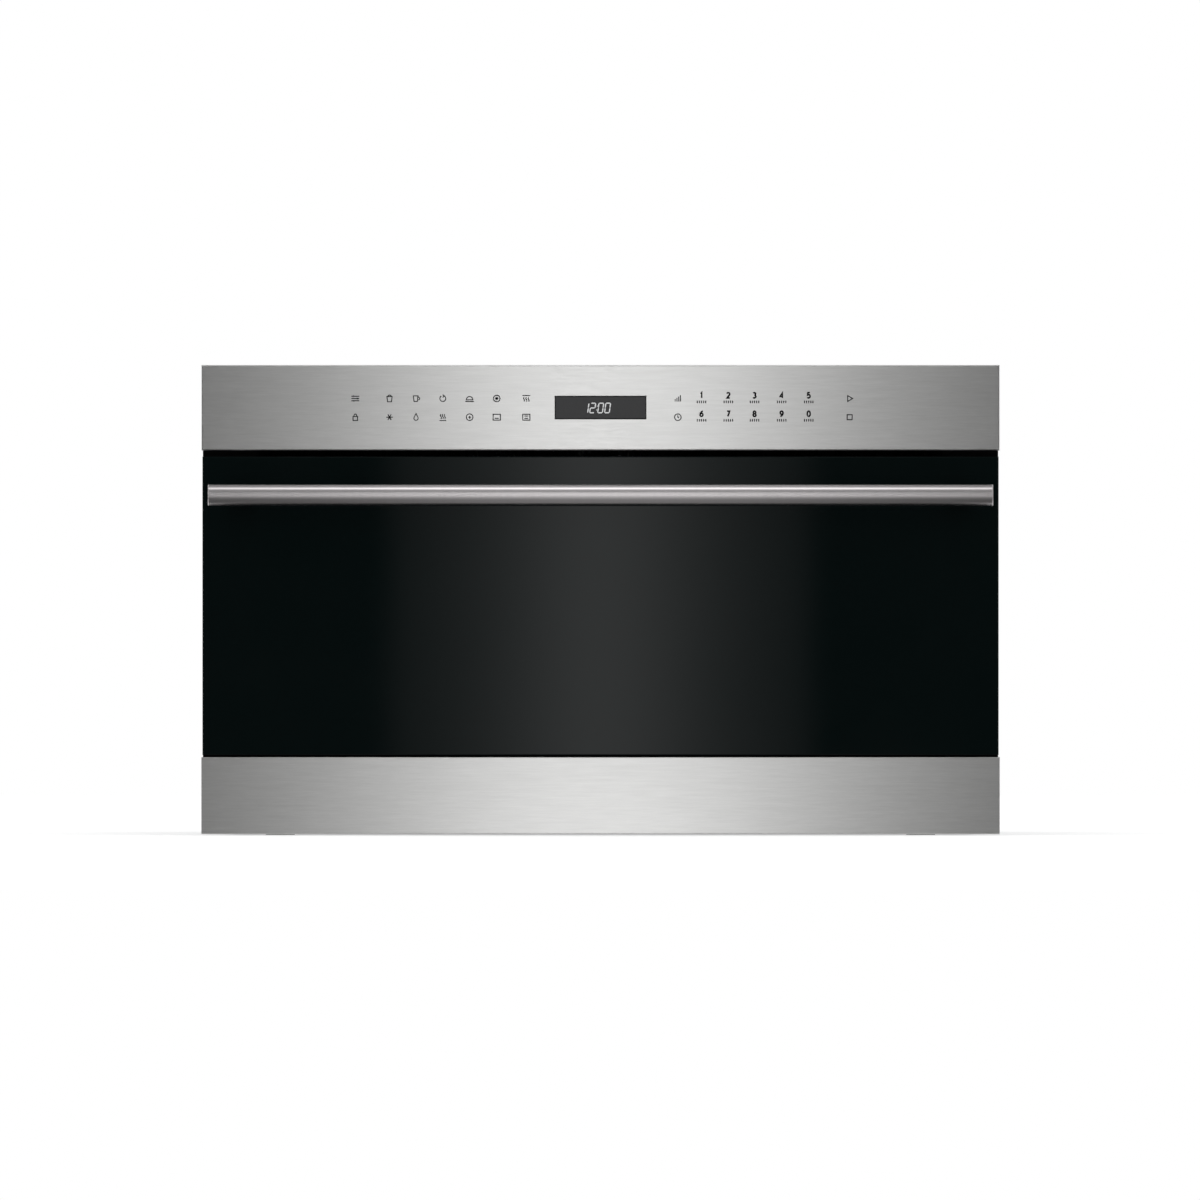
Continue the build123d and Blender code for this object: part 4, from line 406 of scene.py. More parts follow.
# %% The other finishes
# name: colour, metal, roughness, grain, change of colour, change of roughness, bump, gloss if not 0.5
SURFACES = {
    "black_enamel": ((11, 11, 12), 0.0, 0.28, 900.0, 0.20, 0.04, 0.00001),
    "cavity_steel": ((190, 190, 188), 0.65, 0.33, (30.0, 900.0, 900.0), 0.05, 0.05, 0.000004),
    "cast_alloy": ((176, 176, 178), 1.0, 0.42, 700.0, 0.08, 0.06, 0.00003),
    "zinc_plate": ((196, 197, 196), 1.0, 0.30, 400.0, 0.05, 0.06, 0.000004),
    "dark_steel": ((44, 44, 46), 1.0, 0.42, 400.0, 0.12, 0.08, 0.00001),
    "dull_steel": ((112, 112, 114), 1.0, 0.50, 500.0, 0.08, 0.06, 0.00001),
    "element_sheath": ((74, 72, 70), 1.0, 0.50, 250.0, 0.25, 0.10, 0.00001),
    "winding": ((150, 84, 52), 0.6, 0.38, (40.0, 1400.0, 40.0), 0.30, 0.08, 0.0001),
    "black_plastic": ((24, 24, 25), 0.0, 0.55, 1500.0, 0.15, 0.08, 0.00003),
    "light_plastic": ((214, 212, 206), 0.0, 0.45, 1200.0, 0.04, 0.06, 0.00002),
    "vent_black": ((4, 4, 4), 0.0, 0.80, 900.0, 0.20, 0.08, 0.00002, 0.08),
    # the front frame is black enamel, painted darker and duller still: painted shade in the reveal round the
    # door
    "frame_black_with_painted_shade": ((6, 6, 7), 0.0, 0.50, 900.0, 0.20, 0.06, 0.00001, 0.1),
    "foot_rubber": ((34, 34, 35), 0.0, 0.75, 900.0, 0.20, 0.08, 0.00004),
    "mica_sheet": ((196, 188, 164), 0.0, 0.40, 120.0, 0.12, 0.10, 0.00002),
    "board_laminate": ((30, 92, 52), 0.0, 0.40, 900.0, 0.15, 0.08, 0.00002),
    "blanket": ((222, 218, 200), 0.0, 0.95, 420.0, 0.12, 0.03, 0.0006),
    "display_window": ((58, 58, 59), 0.0, 0.22, 500.0, 0.04, 0.03, 0.0, 0.1),
    "rim_print": ((44, 44, 45), 0.0, 0.30, 900.0, 0.08, 0.04, 0.0, 0.1),
    "ink": ((15, 15, 16), 0.0, 0.60, 2500.0, 0.15, 0.08, 0.0, 0.1),
}
for name, values in SURFACES.items():
    surface(name, *values)
print("other finishes:", len(SURFACES))

# %% [markdown]
# ## The door's metal screen
# Behind the window a thin sheet with thousands of small round holes keeps the waves in and lets light out.
# Modelling each hole would cost a great many faces for something one sees only as a fine grey pattern,
# so the holes are drawn by arithmetic: the coordinates are folded into one small cell,
# and every point nearer to the cell's centre than the hole's radius is dark.

# %% A sheet with a pattern of round holes
HOLE_PITCH = 0.0030
HOLE_RADIUS = 0.0011
HOLE_DEPTH = 0.0002

tree, shader = new_material("door_screen")
axes = object_axes(tree)
squares = []
for axis in ("X", "Z"):
    cells = maths(tree, "MULTIPLY", axes[axis], 1 / HOLE_PITCH)
    centred = maths(tree, "SUBTRACT", maths(tree, "FRACT", cells), 0.5)
    squares.append(maths(tree, "POWER", centred, 2.0))
metal = maths(tree, "GREATER_THAN", maths(tree, "ADD", *squares), (HOLE_RADIUS / HOLE_PITCH) ** 2)
peel = stretched_noise(tree, 900.0)
plug(
    tree,
    shader,
    {
        "Base Color": mixed(tree, metal, screen(2, 2, 2), screen(88, 88, 90)),
        "Roughness": between(tree, peel, 0.34, 0.46),
        "Normal": bumped(tree, metal, HOLE_DEPTH),
    },
)
print("screen holes:", round(HOLE_RADIUS * 2000, 1), "mm wide")

# %% [markdown]
# ## Which solid has which finish
# Each solid keeps its CAD shape and only gets its material.

# %% Dress the solids
FINISHES = {
    "brushed_stainless": ["control_fascia", "lower_trim"],
    "handle_metal": ["handle_bar"],
    "black_glass": ["door_glass"],
    "clear_glass": ["inner_glass", "lamp_lens"],
    "door_screen": ["door_screen"],
    "black_enamel": ["door_frame", "choke_frame", "turntable_tray"],
    "frame_black_with_painted_shade": ["front_frame"],
    "dark_steel": ["hinge_brackets", "hinge_leaves", "hinge_pins", "door_stays", "chassis_screws"],
    "dull_steel": ["magnetron", "waveguide"],
    "display_window": ["display_lens"],
    "vent_black": ["exhaust_grille"],
    "black_plastic": ["cable_bushing", "blower_housing", "blower_wheel", "air_duct"],
    "galvanised": ["base_pan", "top_cover", "side_panel_right", "side_panel_left", "convection_housing"],
    "galvanised_painted_shade_inside": ["rear_panel"],
    "zinc_plate": ["handle_screws", "temperature_sensor", "capacitor", "convection_motor", "blower_motor"],
    "cavity_steel": [
        "cavity_floor",
        "cavity_ceiling",
        "cavity_wall_right",
        "cavity_wall_left",
        "cavity_wall_rear",
        "turntable_support",
        "convection_wheel",
    ],
    "cast_alloy": ["handle_posts", "oven_lamp"],
    "light_plastic": [
        "stay_guides",
        "interlock_fingers",
        "switch_housings",
        "terminal_block",
        "turntable_motor",
        "turntable_drive",
        "interlock_plunger_right",
        "interlock_plunger_left",
    ],
    "element_sheath": ["convection_element", "broil_element"],
    "mica_sheet": ["feed_cover"],
    "winding": ["power_transformer"],
    "board_laminate": ["key_board", "relay_board"],
    "blanket": ["insulation_blanket"],
    "foot_rubber": ["feet"],
}
for finish, names in FINISHES.items():
    for name in names:
        slots = nodes[name].data.materials
        slots.clear()
        slots.append(made[finish])
dressed = [name for names in FINISHES.values() for name in names]
print("dressed:", len(dressed), "of", len(nodes), "left:", sorted(set(nodes) - set(dressed)))


# %% [markdown]
# ## Printed marks
# The keys of the panel are touch areas behind the steel. What shows is thin dark print.
# A mark is a stroke: a flat rectangle, as wide as the pen, carried along a line of points.
# At each point the two neighbouring directions are averaged, which gives a clean corner.

# %% A stroke carried along a path
PRINT_THICKNESS = 0.00006
SHARPEST_COSINE = 0.4


def stroke(path, width, front, closed_path=False):
    """Points and quads of a bar along a path of (x, z): each point gives the corners of a small rectangle.

    The side direction is the path's direction turned a quarter, averaged between neighbours
    and stretched by one over the cosine of half the turn, so the bar keeps its width at a corner.
    At a very sharp corner the cosine counts as its smallest allowed value.
    """
    path = np.asarray(path, dtype=float)
    if closed_path:
        ahead = np.roll(path, -1, axis=0) - path
        behind = path - np.roll(path, 1, axis=0)
    else:
        steps = np.diff(path, axis=0)
        ahead = np.vstack([steps, steps[-1:]])
        behind = np.vstack([steps[:1], steps])
    ahead /= np.linalg.norm(ahead, axis=1, keepdims=True)
    behind /= np.linalg.norm(behind, axis=1, keepdims=True)
    middle = ahead + behind
    middle /= np.linalg.norm(middle, axis=1, keepdims=True)
    side = np.stack([-middle[:, 1], middle[:, 0]], axis=1)
    widen = 1 / np.clip(np.sum(middle * ahead, axis=1, keepdims=True), SHARPEST_COSINE, 1.0)
    left = path + side * widen * width / 2
    right = path - side * widen * width / 2
    count = len(path)
    corners = np.zeros((count, 4, 3))
    corners[:, (0, 3), 0] = left[:, None, 0]
    corners[:, (0, 3), 2] = left[:, None, 1]
    corners[:, (1, 2), 0] = right[:, None, 0]
    corners[:, (1, 2), 2] = right[:, None, 1]
    corners[:, (0, 1), 1] = front
    corners[:, (2, 3), 1] = front + PRINT_THICKNESS
    here = np.arange(count if closed_path else count - 1)[:, None]
    there = (here + 1) % count
    turn = np.arange(4)[None, :]
    after = (turn + 1) % 4
    quads = np.stack([here * 4 + turn, there * 4 + turn, there * 4 + after, here * 4 + after], axis=2)
    quads = quads.reshape(-1, 4)
    if not closed_path:
        last = (count - 1) * 4
        quads = np.vstack([quads, [[0, 1, 2, 3]], [[last, last + 1, last + 2, last + 3]]])
    return corners.reshape(-1, 3), quads


def joined(name, parts):
    """One object from a list of (points, quads), each list of quads moved on by the points before it."""
    starts = np.cumsum([0] + [len(points) for points, _ in parts[:-1]])
    points = np.vstack([points for points, _ in parts])
    quads = np.vstack([quads + start for (_, quads), start in zip(parts, starts, strict=True)])
    return quads_to_object(name, points, quads)


print("stroke helpers ready")


# %% [markdown]
# Every mark is written down as a few paths, each of them open or closed.
# Short helpers name the shapes that come back again and again.

# %% Paths of marks
ROUND = (0, 345)


def arc(x, z, radius_x, radius_z, start, end, steps=14):
    """Points of part of an ellipse about (x, z), from one angle to another in degrees."""
    angle = np.radians(np.linspace(start, end, steps))
    return np.stack([x + radius_x * np.cos(angle), z + radius_z * np.sin(angle)], axis=1)


def line(path):
    """Open path."""
    return path, False


def ring(path):
    """Closed path."""
    return path, True


def oval(x, z, radius_x, radius_z, steps=24):
    """Closed ellipse about (x, z); the closing line draws its last 15 degrees."""
    return ring(arc(x, z, radius_x, radius_z, *ROUND, steps))


def level_line(half, z):
    """Level line through x = 0 at a height."""
    return line([(-half, z), (half, z)])


def upright_line(x, low, high):
    """Upright line between two heights."""
    return line([(x, low), (x, high)])


def box_path(left, low, right, high):
    """Closed rectangle."""
    return ring([(left, low), (right, low), (right, high), (left, high)])


def wave(x, low, high, swing, steps=13):
    """Upright wavy line: the sideways swing follows the sine of the height, once round."""
    height = np.linspace(low, high, steps)
    return line(np.stack([x + swing * np.sin((height - low) / (high - low) * 2 * np.pi), height], axis=1))


def spokes(radius, count):
    """Straight lines through the middle, evenly turned."""
    angles = np.pi * np.arange(count) / count
    ends = radius * np.stack([np.cos(angles), np.sin(angles)], axis=1)
    return [line([-end, end]) for end in ends]


print("path helpers ready")

# %% [markdown]
# ## Plain numbers
# Ten number keys stand in two rows at the right of the display, each over a short row of ticks.
# Each number is one or two strokes in a box one unit high and about half a unit wide.
# Places on the panel are given in pixels of the picture: its middle is column 600.5,
# and the fascia starts at row 365.

# %% Strokes of the numbers
NUMBERS = {
    "0": [oval(0.27, 0.5, 0.27, 0.5)],
    "1": [line([(0.10, 0.78), (0.30, 1.0), (0.30, 0.0)])],
    "2": [line([*arc(0.27, 0.72, 0.25, 0.28, 165, -35), (0.02, 0.0), (0.54, 0.0)])],
    "3": [line(arc(0.25, 0.76, 0.22, 0.24, 150, -90)), line(arc(0.25, 0.26, 0.27, 0.26, 90, -150))],
    "4": [line([(0.42, 0.0), (0.42, 1.0), (0.0, 0.28), (0.56, 0.28)])],
    "5": [line([(0.48, 1.0), (0.12, 1.0), (0.06, 0.56), *arc(0.26, 0.31, 0.27, 0.31, 115, -150)])],
    "6": [oval(0.27, 0.3, 0.26, 0.3), line(arc(0.62, 0.3, 0.61, 0.70, 178, 100, 12))],
    "7": [line([(0.02, 1.0), (0.52, 1.0), (0.18, 0.0)])],
    "8": [oval(0.27, 0.74, 0.22, 0.26, 22), oval(0.27, 0.25, 0.27, 0.25, 22)],
    "9": [oval(0.27, 0.7, 0.26, 0.3), line(arc(-0.08, 0.7, 0.61, 0.70, -2, -80, 12))],
}
FASCIA_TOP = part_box("control_fascia")[1][2]
FASCIA_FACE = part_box("control_fascia")[0][1]
PRINT_PROUD = 0.00004
PRINT_FACE = FASCIA_FACE - PRINT_PROUD
MIDDLE_COLUMN = 600.5
FASCIA_ROW = 365.0
NUMBER_COLUMNS = (701.5, 728.3, 754.5, 781.6, 808.7)
NUMBER_ROWS = ((395.3, "12345", 401.9), (413.8, "67890", 420.3))
NUMBER_HEIGHT = 0.0050
NUMBER_PEN = 0.00155
NUMBER_CENTRE = (0.27, 0.5)
TICK_COUNT = 5
TICK_ROW = 0.0080
TICK_HEIGHT = 0.0025
TICK_PEN = 0.0010


def panel_place(column, row):
    """Width and height on the fascia of a pixel of the picture."""
    return (column - MIDDLE_COLUMN) * PIXEL, FASCIA_TOP - (row - FASCIA_ROW) * PIXEL


def printed(paths, centre, size, place, pen):
    """Strokes of a mark: its paths are made as high as the size, and its centre is brought to the place."""
    shift = np.subtract(place, np.multiply(centre, size))
    marks = []
    for path, closed_path in paths:
        path = np.asarray(path, dtype=float) * size + shift
        marks.append(stroke(path, pen, PRINT_FACE, closed_path))
    return marks


number_parts = []
tick_parts = []
for row, keys, tick_row in NUMBER_ROWS:
    for column, key in zip(NUMBER_COLUMNS, keys, strict=True):
        place = panel_place(column, row)
        number_parts += printed(NUMBERS[key], NUMBER_CENTRE, NUMBER_HEIGHT, place, NUMBER_PEN)
        x, z = panel_place(column, tick_row)
        for tick_x in x + np.linspace(-TICK_ROW / 2, TICK_ROW / 2, TICK_COUNT):
            path, _ = upright_line(tick_x, z - TICK_HEIGHT / 2, z + TICK_HEIGHT / 2)
            tick_parts.append(stroke(path, TICK_PEN, PRINT_FACE))
key_numbers = joined("key_numbers", number_parts)
key_ticks = joined("key_ticks", tick_parts)
print("numbers:", len(number_parts), "strokes; ticks:", len(tick_parts))

# %% [markdown]
# ## Pictograms of the function keys
# The other keys have plain pictograms: a padlock, a drop, a snowflake, a fan, a dial, a triangle, a square
# and so on. They are drawn with a finer pen, in a box about one unit high and centred on zero.

# %% Strokes of the pictograms
DIAL = oval(0.0, 0.0, 0.5, 0.5)
PLATE = box_path(-0.55, -0.45, 0.55, 0.45)
PICTOGRAMS = {
    "sliders": [level_line(0.6, z) for z in (-0.35, 0.0, 0.35)]
    + [upright_line(x, z - 0.12, z + 0.12) for x, z in ((-0.2, -0.35), (0.3, 0.0), (-0.3, 0.35))],
    "bag": [
        ring([(-0.3, -0.5), (0.3, -0.5), (0.4, 0.3), (-0.4, 0.3)]),
        line(arc(0.0, 0.32, 0.25, 0.2, 0, 180)),
    ],
    "cup": [
        ring([(-0.4, 0.4), (-0.3, -0.45), (0.2, -0.45), (0.3, 0.4)]),
        line(arc(0.3, 0.0, 0.25, 0.22, 80, -80)),
    ],
    "round_arrow": [
        line(arc(0.0, 0.0, 0.45, 0.45, 60, -240)),
        line([(-0.02, 0.62), (0.24, 0.38), (-0.02, 0.18)]),
    ],
    "dome": [ring(arc(0.0, -0.2, 0.5, 0.5, 0, 180)), level_line(0.65, -0.45)],
    "fan": [DIAL, *spokes(0.28, 3)],
    "waves_under_bar": [level_line(0.6, 0.45)] + [wave(x, -0.45, 0.2, 0.07) for x in (-0.35, 0.0, 0.35)],
    "padlock": [box_path(-0.35, -0.5, 0.35, 0.1), line(arc(0.0, 0.1, 0.22, 0.38, 0, 180))],
    "snowflake": spokes(0.5, 3),
    "drop": [ring([(0.0, 0.55), *arc(0.0, -0.15, 0.33, 0.33, 150, 390, 18)])],
    "waves_over_bar": [level_line(0.5, -0.5)] + [wave(x, -0.25, 0.45, 0.08) for x in (-0.3, 0.0, 0.3)],
    "plus": [DIAL, level_line(0.22, 0.0), upright_line(0.0, -0.22, 0.22)],
    "plate_low_bar": [PLATE, level_line(0.3, -0.18)],
    "plate_two_bars": [PLATE, level_line(0.3, 0.18), level_line(0.3, -0.18)],
    "stairs": [
        upright_line(x, -0.45, top) for x, top in ((-0.4, -0.1), (-0.13, 0.1), (0.13, 0.3), (0.4, 0.5))
    ],
    "dial": [DIAL, line([(0.0, 0.3), (0.0, 0.0), (0.2, -0.1)])],
    "triangle": [ring([(-0.3, -0.45), (0.45, 0.0), (-0.3, 0.45)])],
    "square": [box_path(-0.38, -0.38, 0.38, 0.38)],
}
PICTOGRAM_CENTRE = (0.0, 0.0)
PICTOGRAM_HEIGHT = 0.0062
PICTOGRAM_PEN = 0.00092
PICTOGRAM_ROWS = (398.5, 417.2)
LEFT_COLUMNS = (355.3, 389.5, 416.0, 442.8, 469.6, 496.7, 526.3)
LEFT_KEYS = (
    ("sliders", "bag", "cup", "round_arrow", "dome", "fan", "waves_under_bar"),
    ("padlock", "snowflake", "drop", "waves_over_bar", "plus", "plate_low_bar", "plate_two_bars"),
)
RIGHT_KEYS = ((677.8, "stairs", "dial"), (849.6, "triangle", "square"))

places = []
for row, keys in zip(PICTOGRAM_ROWS, LEFT_KEYS, strict=True):
    places += [(column, row, key) for column, key in zip(LEFT_COLUMNS, keys, strict=True)]
for column, *keys in RIGHT_KEYS:
    places += [(column, row, key) for row, key in zip(PICTOGRAM_ROWS, keys, strict=True)]
pictogram_parts = []
for column, row, key in places:
    place = panel_place(column, row)
    pictogram_parts += printed(PICTOGRAMS[key], PICTOGRAM_CENTRE, PICTOGRAM_HEIGHT, place, PICTOGRAM_PEN)
key_pictograms = joined("key_pictograms", pictogram_parts)
print("pictograms:", len(places), "from", len(pictogram_parts), "strokes")

# %% [markdown]
# ## Ink
# The print is a matt dark grey ink, a little uneven, as silk-screen print is.

# %% Ink on the marks
for piece in (key_numbers, key_ticks, key_pictograms):
    piece.data.materials.append(made["ink"])
    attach(piece, "chassis")
print("ink on", key_numbers.name, key_ticks.name, key_pictograms.name)

# %% [markdown]
# ## The clock's numbers
# The display shows the time in slanted seven-segment numbers.
# A segment is a flat hexagon, its two ends cut to points so that neighbours meet with a fine gap.
# Each number switches on its own segments, and a shear leans the whole display to the right.

# %% Seven-segment numbers
SEGMENTS = {
    "a": ((0.0, 1.0), (1.0, 1.0)),
    "b": ((1.0, 1.0), (1.0, 0.5)),
    "c": ((1.0, 0.5), (1.0, 0.0)),
    "d": ((0.0, 0.0), (1.0, 0.0)),
    "e": ((0.0, 0.5), (0.0, 0.0)),
    "f": ((0.0, 1.0), (0.0, 0.5)),
    "g": ((0.0, 0.5), (1.0, 0.5)),
}
LIT = {"0": "abcdef", "1": "bc", "2": "abged"}
CLOCK_PLACES = (583.6, 590.3, 598.3, 605.2)
COLON_PLACE = 596.9
CLOCK_TOP = panel_place(0.0, 403.2)[1]
CLOCK_LOW = panel_place(0.0, 412.8)[1]
CLOCK_HEIGHT = CLOCK_TOP - CLOCK_LOW
CLOCK_SHAPE = 0.49
CLOCK_WIDTH = CLOCK_HEIGHT * CLOCK_SHAPE
CLOCK_SLANT = 0.14
CLOCK_PEN = 0.00105
CLOCK_PROUD = 0.00005
CLOCK_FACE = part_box("display_lens")[0][1] - CLOCK_PROUD
SEGMENT_GAP = 0.12
COLON_HALF = 0.0006
COLON_HEIGHTS = (0.3, 0.7)


def hexagon_bar(start, end, pen):
    """Points and quads of a flat bar with pointed ends, cut into two four-sided halves, front and back."""
    start = np.asarray(start, dtype=float)
    end = np.asarray(end, dtype=float)
    along = (end - start) / np.linalg.norm(end - start)
    side = np.array([-along[1], along[0]])
    gap = along * pen * SEGMENT_GAP
    shoulder = along * pen / 2
    flat = np.array(
        [
            start + gap,
            start + shoulder + side * pen / 2,
            end - shoulder + side * pen / 2,
            end - gap,
            end - shoulder - side * pen / 2,
            start + shoulder - side * pen / 2,
        ]
    )
    front = np.insert(flat, 1, CLOCK_FACE, axis=1)
    back = np.insert(flat, 1, CLOCK_FACE + PRINT_THICKNESS, axis=1)
    points = np.vstack([front, back])
    faces = [[0, 1, 2, 3], [3, 4, 5, 0], [6, 9, 8, 7], [6, 11, 10, 9]]
    faces += [[i, (i + 1) % 6, (i + 1) % 6 + 6, i + 6] for i in range(6)]
    return points, np.array(faces)


clock_parts = []
for place, text in zip(CLOCK_PLACES, "1200", strict=True):
    left = panel_place(place, 0.0)[0]
    for name in LIT[text]:
        ends = np.array(SEGMENTS[name]) * (CLOCK_WIDTH, CLOCK_HEIGHT) + (left, CLOCK_LOW)
        clock_parts.append(hexagon_bar(ends[0], ends[1], CLOCK_PEN))
colon_x = panel_place(COLON_PLACE, 0.0)[0]
for share in COLON_HEIGHTS:
    z = CLOCK_LOW + CLOCK_HEIGHT * share
    clock_parts.append(hexagon_bar((colon_x - COLON_HALF, z), (colon_x + COLON_HALF, z), CLOCK_PEN))
for points, _ in clock_parts:
    points[:, 0] += (points[:, 2] - CLOCK_LOW - CLOCK_HEIGHT / 2) * CLOCK_SLANT
clock_numbers = joined("clock_numbers", clock_parts)

tree, shader = new_material("clock_glow")
flicker = stretched_noise(tree, 700.0)
plug(
    tree,
    shader,
    {
        "Base Color": shaded(tree, flicker, screen(178, 179, 180), screen(192, 193, 194)),
        "Roughness": 0.5,
        "Emission Color": screen(220, 221, 222),
        "Emission Strength": 0.45,
    },
)
clock_numbers.data.materials.append(made["clock_glow"])
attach(clock_numbers, "chassis")
print("clock:", len(clock_parts), "segments")

# %% [markdown]
# The window's edge is printed a little darker than its middle, in a band about a millimetre wide.
# The lens has a wider flange behind the steel, so the band follows only the corners of its front face.

# %% Rim of the display window
RIM_PEN = 0.0010
FRONT_TOLERANCE = 0.0002

lens_solid = nodes["display_lens"]
lens_points = np.empty(len(lens_solid.data.vertices) * 3)
lens_solid.data.vertices.foreach_get("co", lens_points)
lens_points = lens_points.reshape(-1, 3) @ np.array(lens_solid.matrix_world.to_3x3()).T
lens_points = lens_points + np.array(lens_solid.matrix_world.translation)
lens_front = lens_points[lens_points[:, 1] < lens_points[:, 1].min() + FRONT_TOLERANCE]
rim_left, rim_low = lens_front.min(axis=0)[[0, 2]] + RIM_PEN / 2
rim_right, rim_high = lens_front.max(axis=0)[[0, 2]] - RIM_PEN / 2
rim_path, rim_closed = box_path(rim_left, rim_low, rim_right, rim_high)
display_rim = joined("display_rim", [stroke(rim_path, RIM_PEN, CLOCK_FACE, rim_closed)])
display_rim.data.materials.append(made["rim_print"])
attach(display_rim, "chassis")
print("window:", round((rim_right - rim_left) * 1000, 1), "mm wide")


# %% [markdown]
# ## The floor and the room
# The oven stands on a plain white floor that runs out of the picture,
# and an even pale room lights it from everywhere. Rays that look straight at the floor or the room,
# or see them in a mirror or through glass, find them a little brighter than the light they give.
# That brings both to white and leaves the soft shadow under the oven.

# %% Floor and world
FLOOR_HALF = 7.0
FLOOR_PAINT = (0.82, 0.82, 0.82, 1.0)
FLOOR_LIFT = 0.45
ROOM_LIGHT = 0.72
WHITE = (1.0, 1.0, 1.0, 1.0)


def seen(tree):
    """Factor that is 1 for a ray from the camera, off a mirror or through glass, and 0 for any other."""
    rays = wire(tree, "ShaderNodeLightPath")
    direct = maths(tree, "MAXIMUM", rays["Is Camera Ray"], rays["Is Glossy Ray"])
    return maths(tree, "MAXIMUM", direct, rays["Is Transmission Ray"])


corners = np.array([[-1, -1, 0], [1, -1, 0], [1, 1, 0], [-1, 1, 0]]) * FLOOR_HALF
floor = quads_to_object("floor", corners, [[0, 1, 2, 3]], closed=False)
tree, shader = new_material("floor_paint")
plug(
    tree,
    shader,
    {
        "Base Color": FLOOR_PAINT,
        "Roughness": 0.9,
        "Specular IOR Level": 0.0,
        "Emission Color": WHITE,
        "Emission Strength": maths(tree, "MULTIPLY", seen(tree), FLOOR_LIFT),
    },
)
floor.data.materials.append(made["floor_paint"])

world = bpy.data.worlds.new("room")
world.use_nodes = True
bpy.context.scene.world = world
tree = world.node_tree
level = {"Value": seen(tree), "To Min": ROOM_LIGHT, "To Max": 1.0}
strength = wire(tree, "ShaderNodeMapRange", level)["Result"]
plug(tree, tree.nodes["Background"], {"Color": WHITE, "Strength": strength})
print("floor side:", FLOOR_HALF * 2, "m; room light:", ROOM_LIGHT)


# %% [markdown]
# ## Cards and a soft panel
# Bright metal and black glass show what stands in front of them. A photographer puts a dark card there,
# so that the glass looks black, and one soft panel, so that the steel glows in the middle
# and falls off to the sides. More cards follow for the sky and the floor.
# All of these are planes outside the picture. The cards show only in mirrors and light nothing.

# %% Planes of the studio
CARD_HALF = 5.0
CARD_LOW = (-4.6, -0.2)
CARD_HIGH = (-4.6, 3.0)
DARK_CARD = 0.03


def studio_plane(name, low, high, half_width):
    """Glowing plane from one (y, z) line to another, unseen by the camera and without a shadow."""
    corners = [(-half_width, *low), (half_width, *low), (half_width, *high), (-half_width, *high)]
    plane = quads_to_object(name, corners, [[0, 1, 2, 3]], closed=False)
    material = bpy.data.materials.new(name)
    material.use_nodes = True
    tree = material.node_tree
    tree.nodes.remove(tree.nodes["Principled BSDF"])
    emission = tree.nodes.new("ShaderNodeEmission")
    plug(tree, emission, {"Color": WHITE})
    plug(tree, tree.nodes["Material Output"], {"Surface": emission.outputs[0]})
    plane.data.materials.append(material)
    plane.visible_camera = False
    plane.visible_shadow = False
    plane.visible_transmission = False
    return plane, tree, emission


def card(name, low, high):
    """Studio plane, as wide as all cards, that shows only in mirrors."""
    plane, tree, emission = studio_plane(name, low, high, CARD_HALF)
    plane.visible_diffuse = False
    return tree, emission


tree, emission = card("dark_card", CARD_LOW, CARD_HIGH)
plug(tree, emission, {"Strength": DARK_CARD})
print("dark card:", DARK_CARD)

# %% [markdown]
# The soft panel is brightest along its upright middle line and fades to both sides,
# and at its own edges it ends softly. One formula serves the panel, the sky over it
# and the panel's gleam on the floor: one, divided by one and a half powers of
# one plus the square of the distance over a width.

# %% Brightness across the panel
FALL_POWER = -1.5
PANEL_DISTANCE = 1.8
PANEL_HALF = 0.238
PANEL_LOW = 0.004
PANEL_TOP = 1.32
PANEL_WIDTH = 0.129
PANEL_FADE_FROM = 0.189
PANEL_FADE_TO = 0.228
PANEL_STRENGTH = 3.9


def across_middle(tree, width):
    """Factor that is 1 at x = 0 and falls as (1 + (x / width) squared) to the power -1.5."""
    share = maths(tree, "DIVIDE", object_axes(tree)["X"], width)
    return maths(tree, "POWER", maths(tree, "MULTIPLY_ADD", share, share, 1.0), FALL_POWER)


panel_y = DOOR_FACE - PANEL_DISTANCE
_, tree, emission = studio_plane("soft_panel", (panel_y, PANEL_LOW), (panel_y, PANEL_TOP), PANEL_HALF)
away = maths(tree, "ABSOLUTE", object_axes(tree)["X"])
edges = {"From Min": PANEL_FADE_FROM, "From Max": PANEL_FADE_TO, "To Min": 1.0, "To Max": 0.0}
fade = wire(tree, "ShaderNodeMapRange", {"Value": away, **edges}, interpolation_type="SMOOTHSTEP")
faded = maths(tree, "MULTIPLY", across_middle(tree, PANEL_WIDTH), fade["Result"])
plug(tree, emission, {"Strength": maths(tree, "MULTIPLY", faded, PANEL_STRENGTH)})
print("panel strength:", PANEL_STRENGTH)

# %% [markdown]
# Over the panel hangs a pale sky of cloth: it rises behind the panel's top and then runs back over the oven.
# The round handle shows it as the grey bands above and below its bright line.

# %% The sky
SKY_START = (-2.10, 1.36)
SKY_FRONT = (-1.50, 2.75)
SKY_BACK = (1.80, 2.75)
SKY_BASE = 0.06
SKY_MIDDLE = 0.85
SKY_WIDTH = 0.28

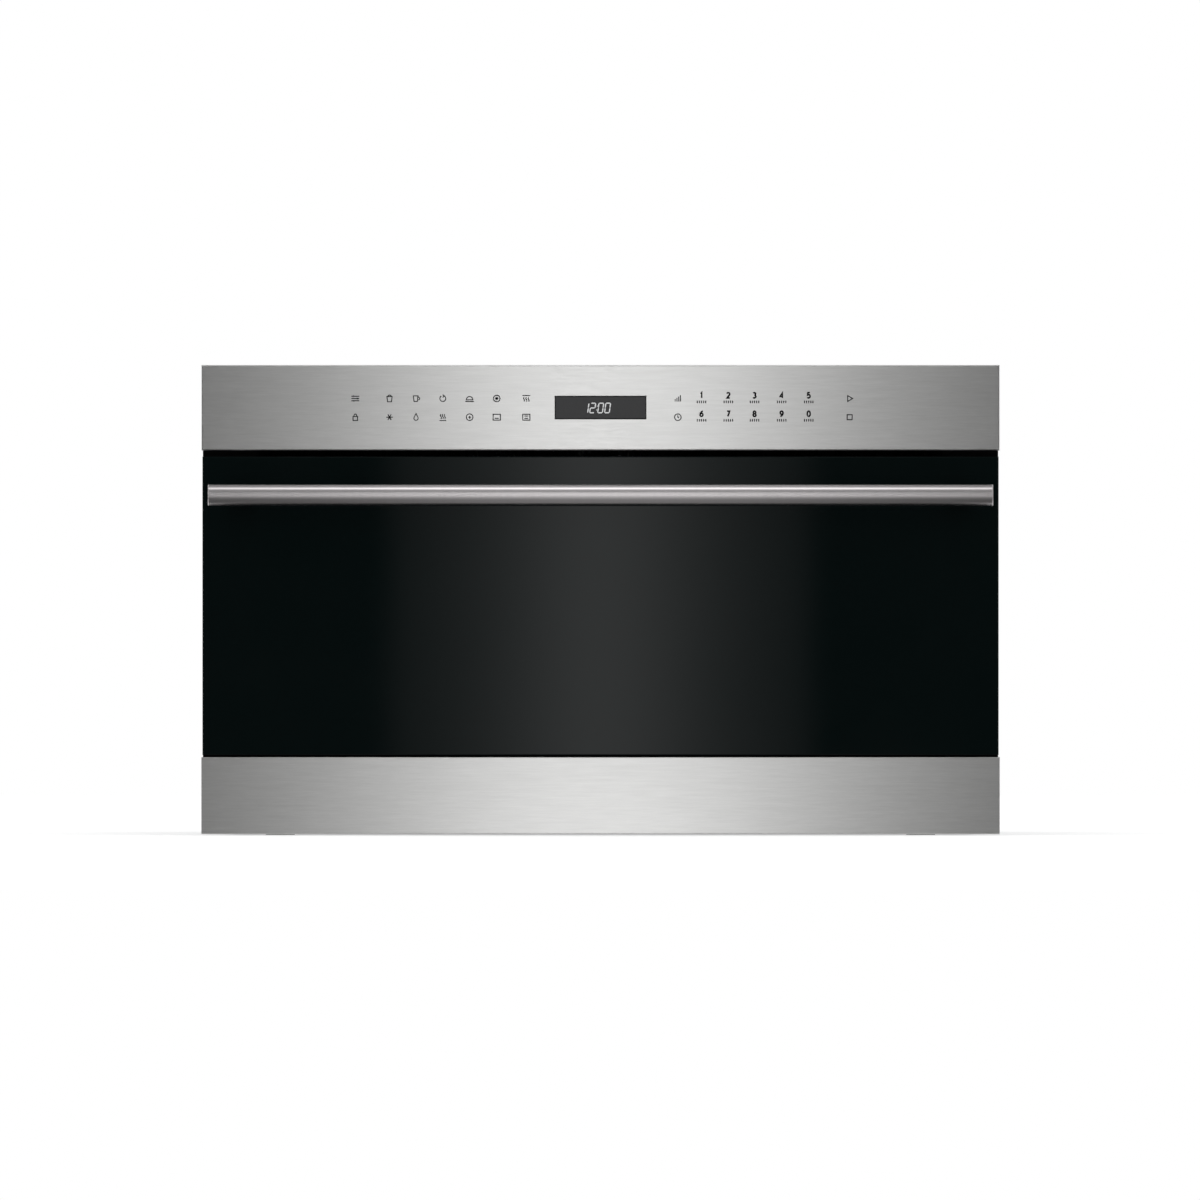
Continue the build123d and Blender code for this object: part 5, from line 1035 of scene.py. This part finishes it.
for name, low, high in (("sky_front", SKY_START, SKY_FRONT), ("sky_back", SKY_FRONT, SKY_BACK)):
    tree, emission = card(name, low, high)
    glow = maths(tree, "MULTIPLY_ADD", across_middle(tree, SKY_WIDTH), SKY_MIDDLE, SKY_BASE)
    plug(tree, emission, {"Strength": glow})
print("sky:", SKY_BASE, "to", SKY_BASE + SKY_MIDDLE)

# %% [markdown]
# A satin floor gleams only when one looks along it. The low trim looks along it and sees the panel's gleam,
# the underside of the handle looks down on it and sees it dark. Layer Weight gives that difference.

# %% Gleam on the floor
FLOOR_CARD_FRONT = (CARD_LOW[0], 0.0006)
FLOOR_CARD_BACK = (DOOR_FACE - 0.001, 0.0006)
FLOOR_DARK = 0.04
FLOOR_MIDDLE = 0.22
GLEAM_WIDTH = 0.31
GLEAM_STRENGTH = 1.75
GLEAM_NARROWING = 2.5

tree, emission = card("floor_card", FLOOR_CARD_FRONT, FLOOR_CARD_BACK)
facing = wire(tree, "ShaderNodeLayerWeight")["Facing"]
grazing = maths(tree, "POWER", facing, GLEAM_NARROWING)
gleam = maths(tree, "MULTIPLY_ADD", grazing, GLEAM_STRENGTH, FLOOR_MIDDLE)
total = maths(tree, "MULTIPLY_ADD", gleam, across_middle(tree, GLEAM_WIDTH), FLOOR_DARK)
plug(tree, emission, {"Strength": total})
print("gleam:", GLEAM_STRENGTH)

# %% [markdown]
# A strip lamp above the front draws the bright line along the handle.

# %% Strip lamp
STRIP_LENGTH = 0.95
STRIP_DEPTH = 0.9
STRIP_GLOW = 2.1
STRIP_PLACE = (0.0, -0.82, 2.5)
STRIP_TILT = 13

strip = bpy.data.lights.new("strip", "AREA")
strip.shape = "RECTANGLE"
strip.size = STRIP_LENGTH
strip.size_y = STRIP_DEPTH
strip.energy = STRIP_GLOW * np.pi * STRIP_LENGTH * STRIP_DEPTH
strip_object = bpy.data.objects.new("strip", strip)
strip_object.location = STRIP_PLACE
strip_object.rotation_euler = (np.radians(STRIP_TILT), 0.0, 0.0)
strip_object.visible_camera = False
bpy.context.scene.collection.objects.link(strip_object)
print("strip energy:", round(strip.energy, 1))

# %% [markdown]
# ## The end

# %% The end
print("scene set up")
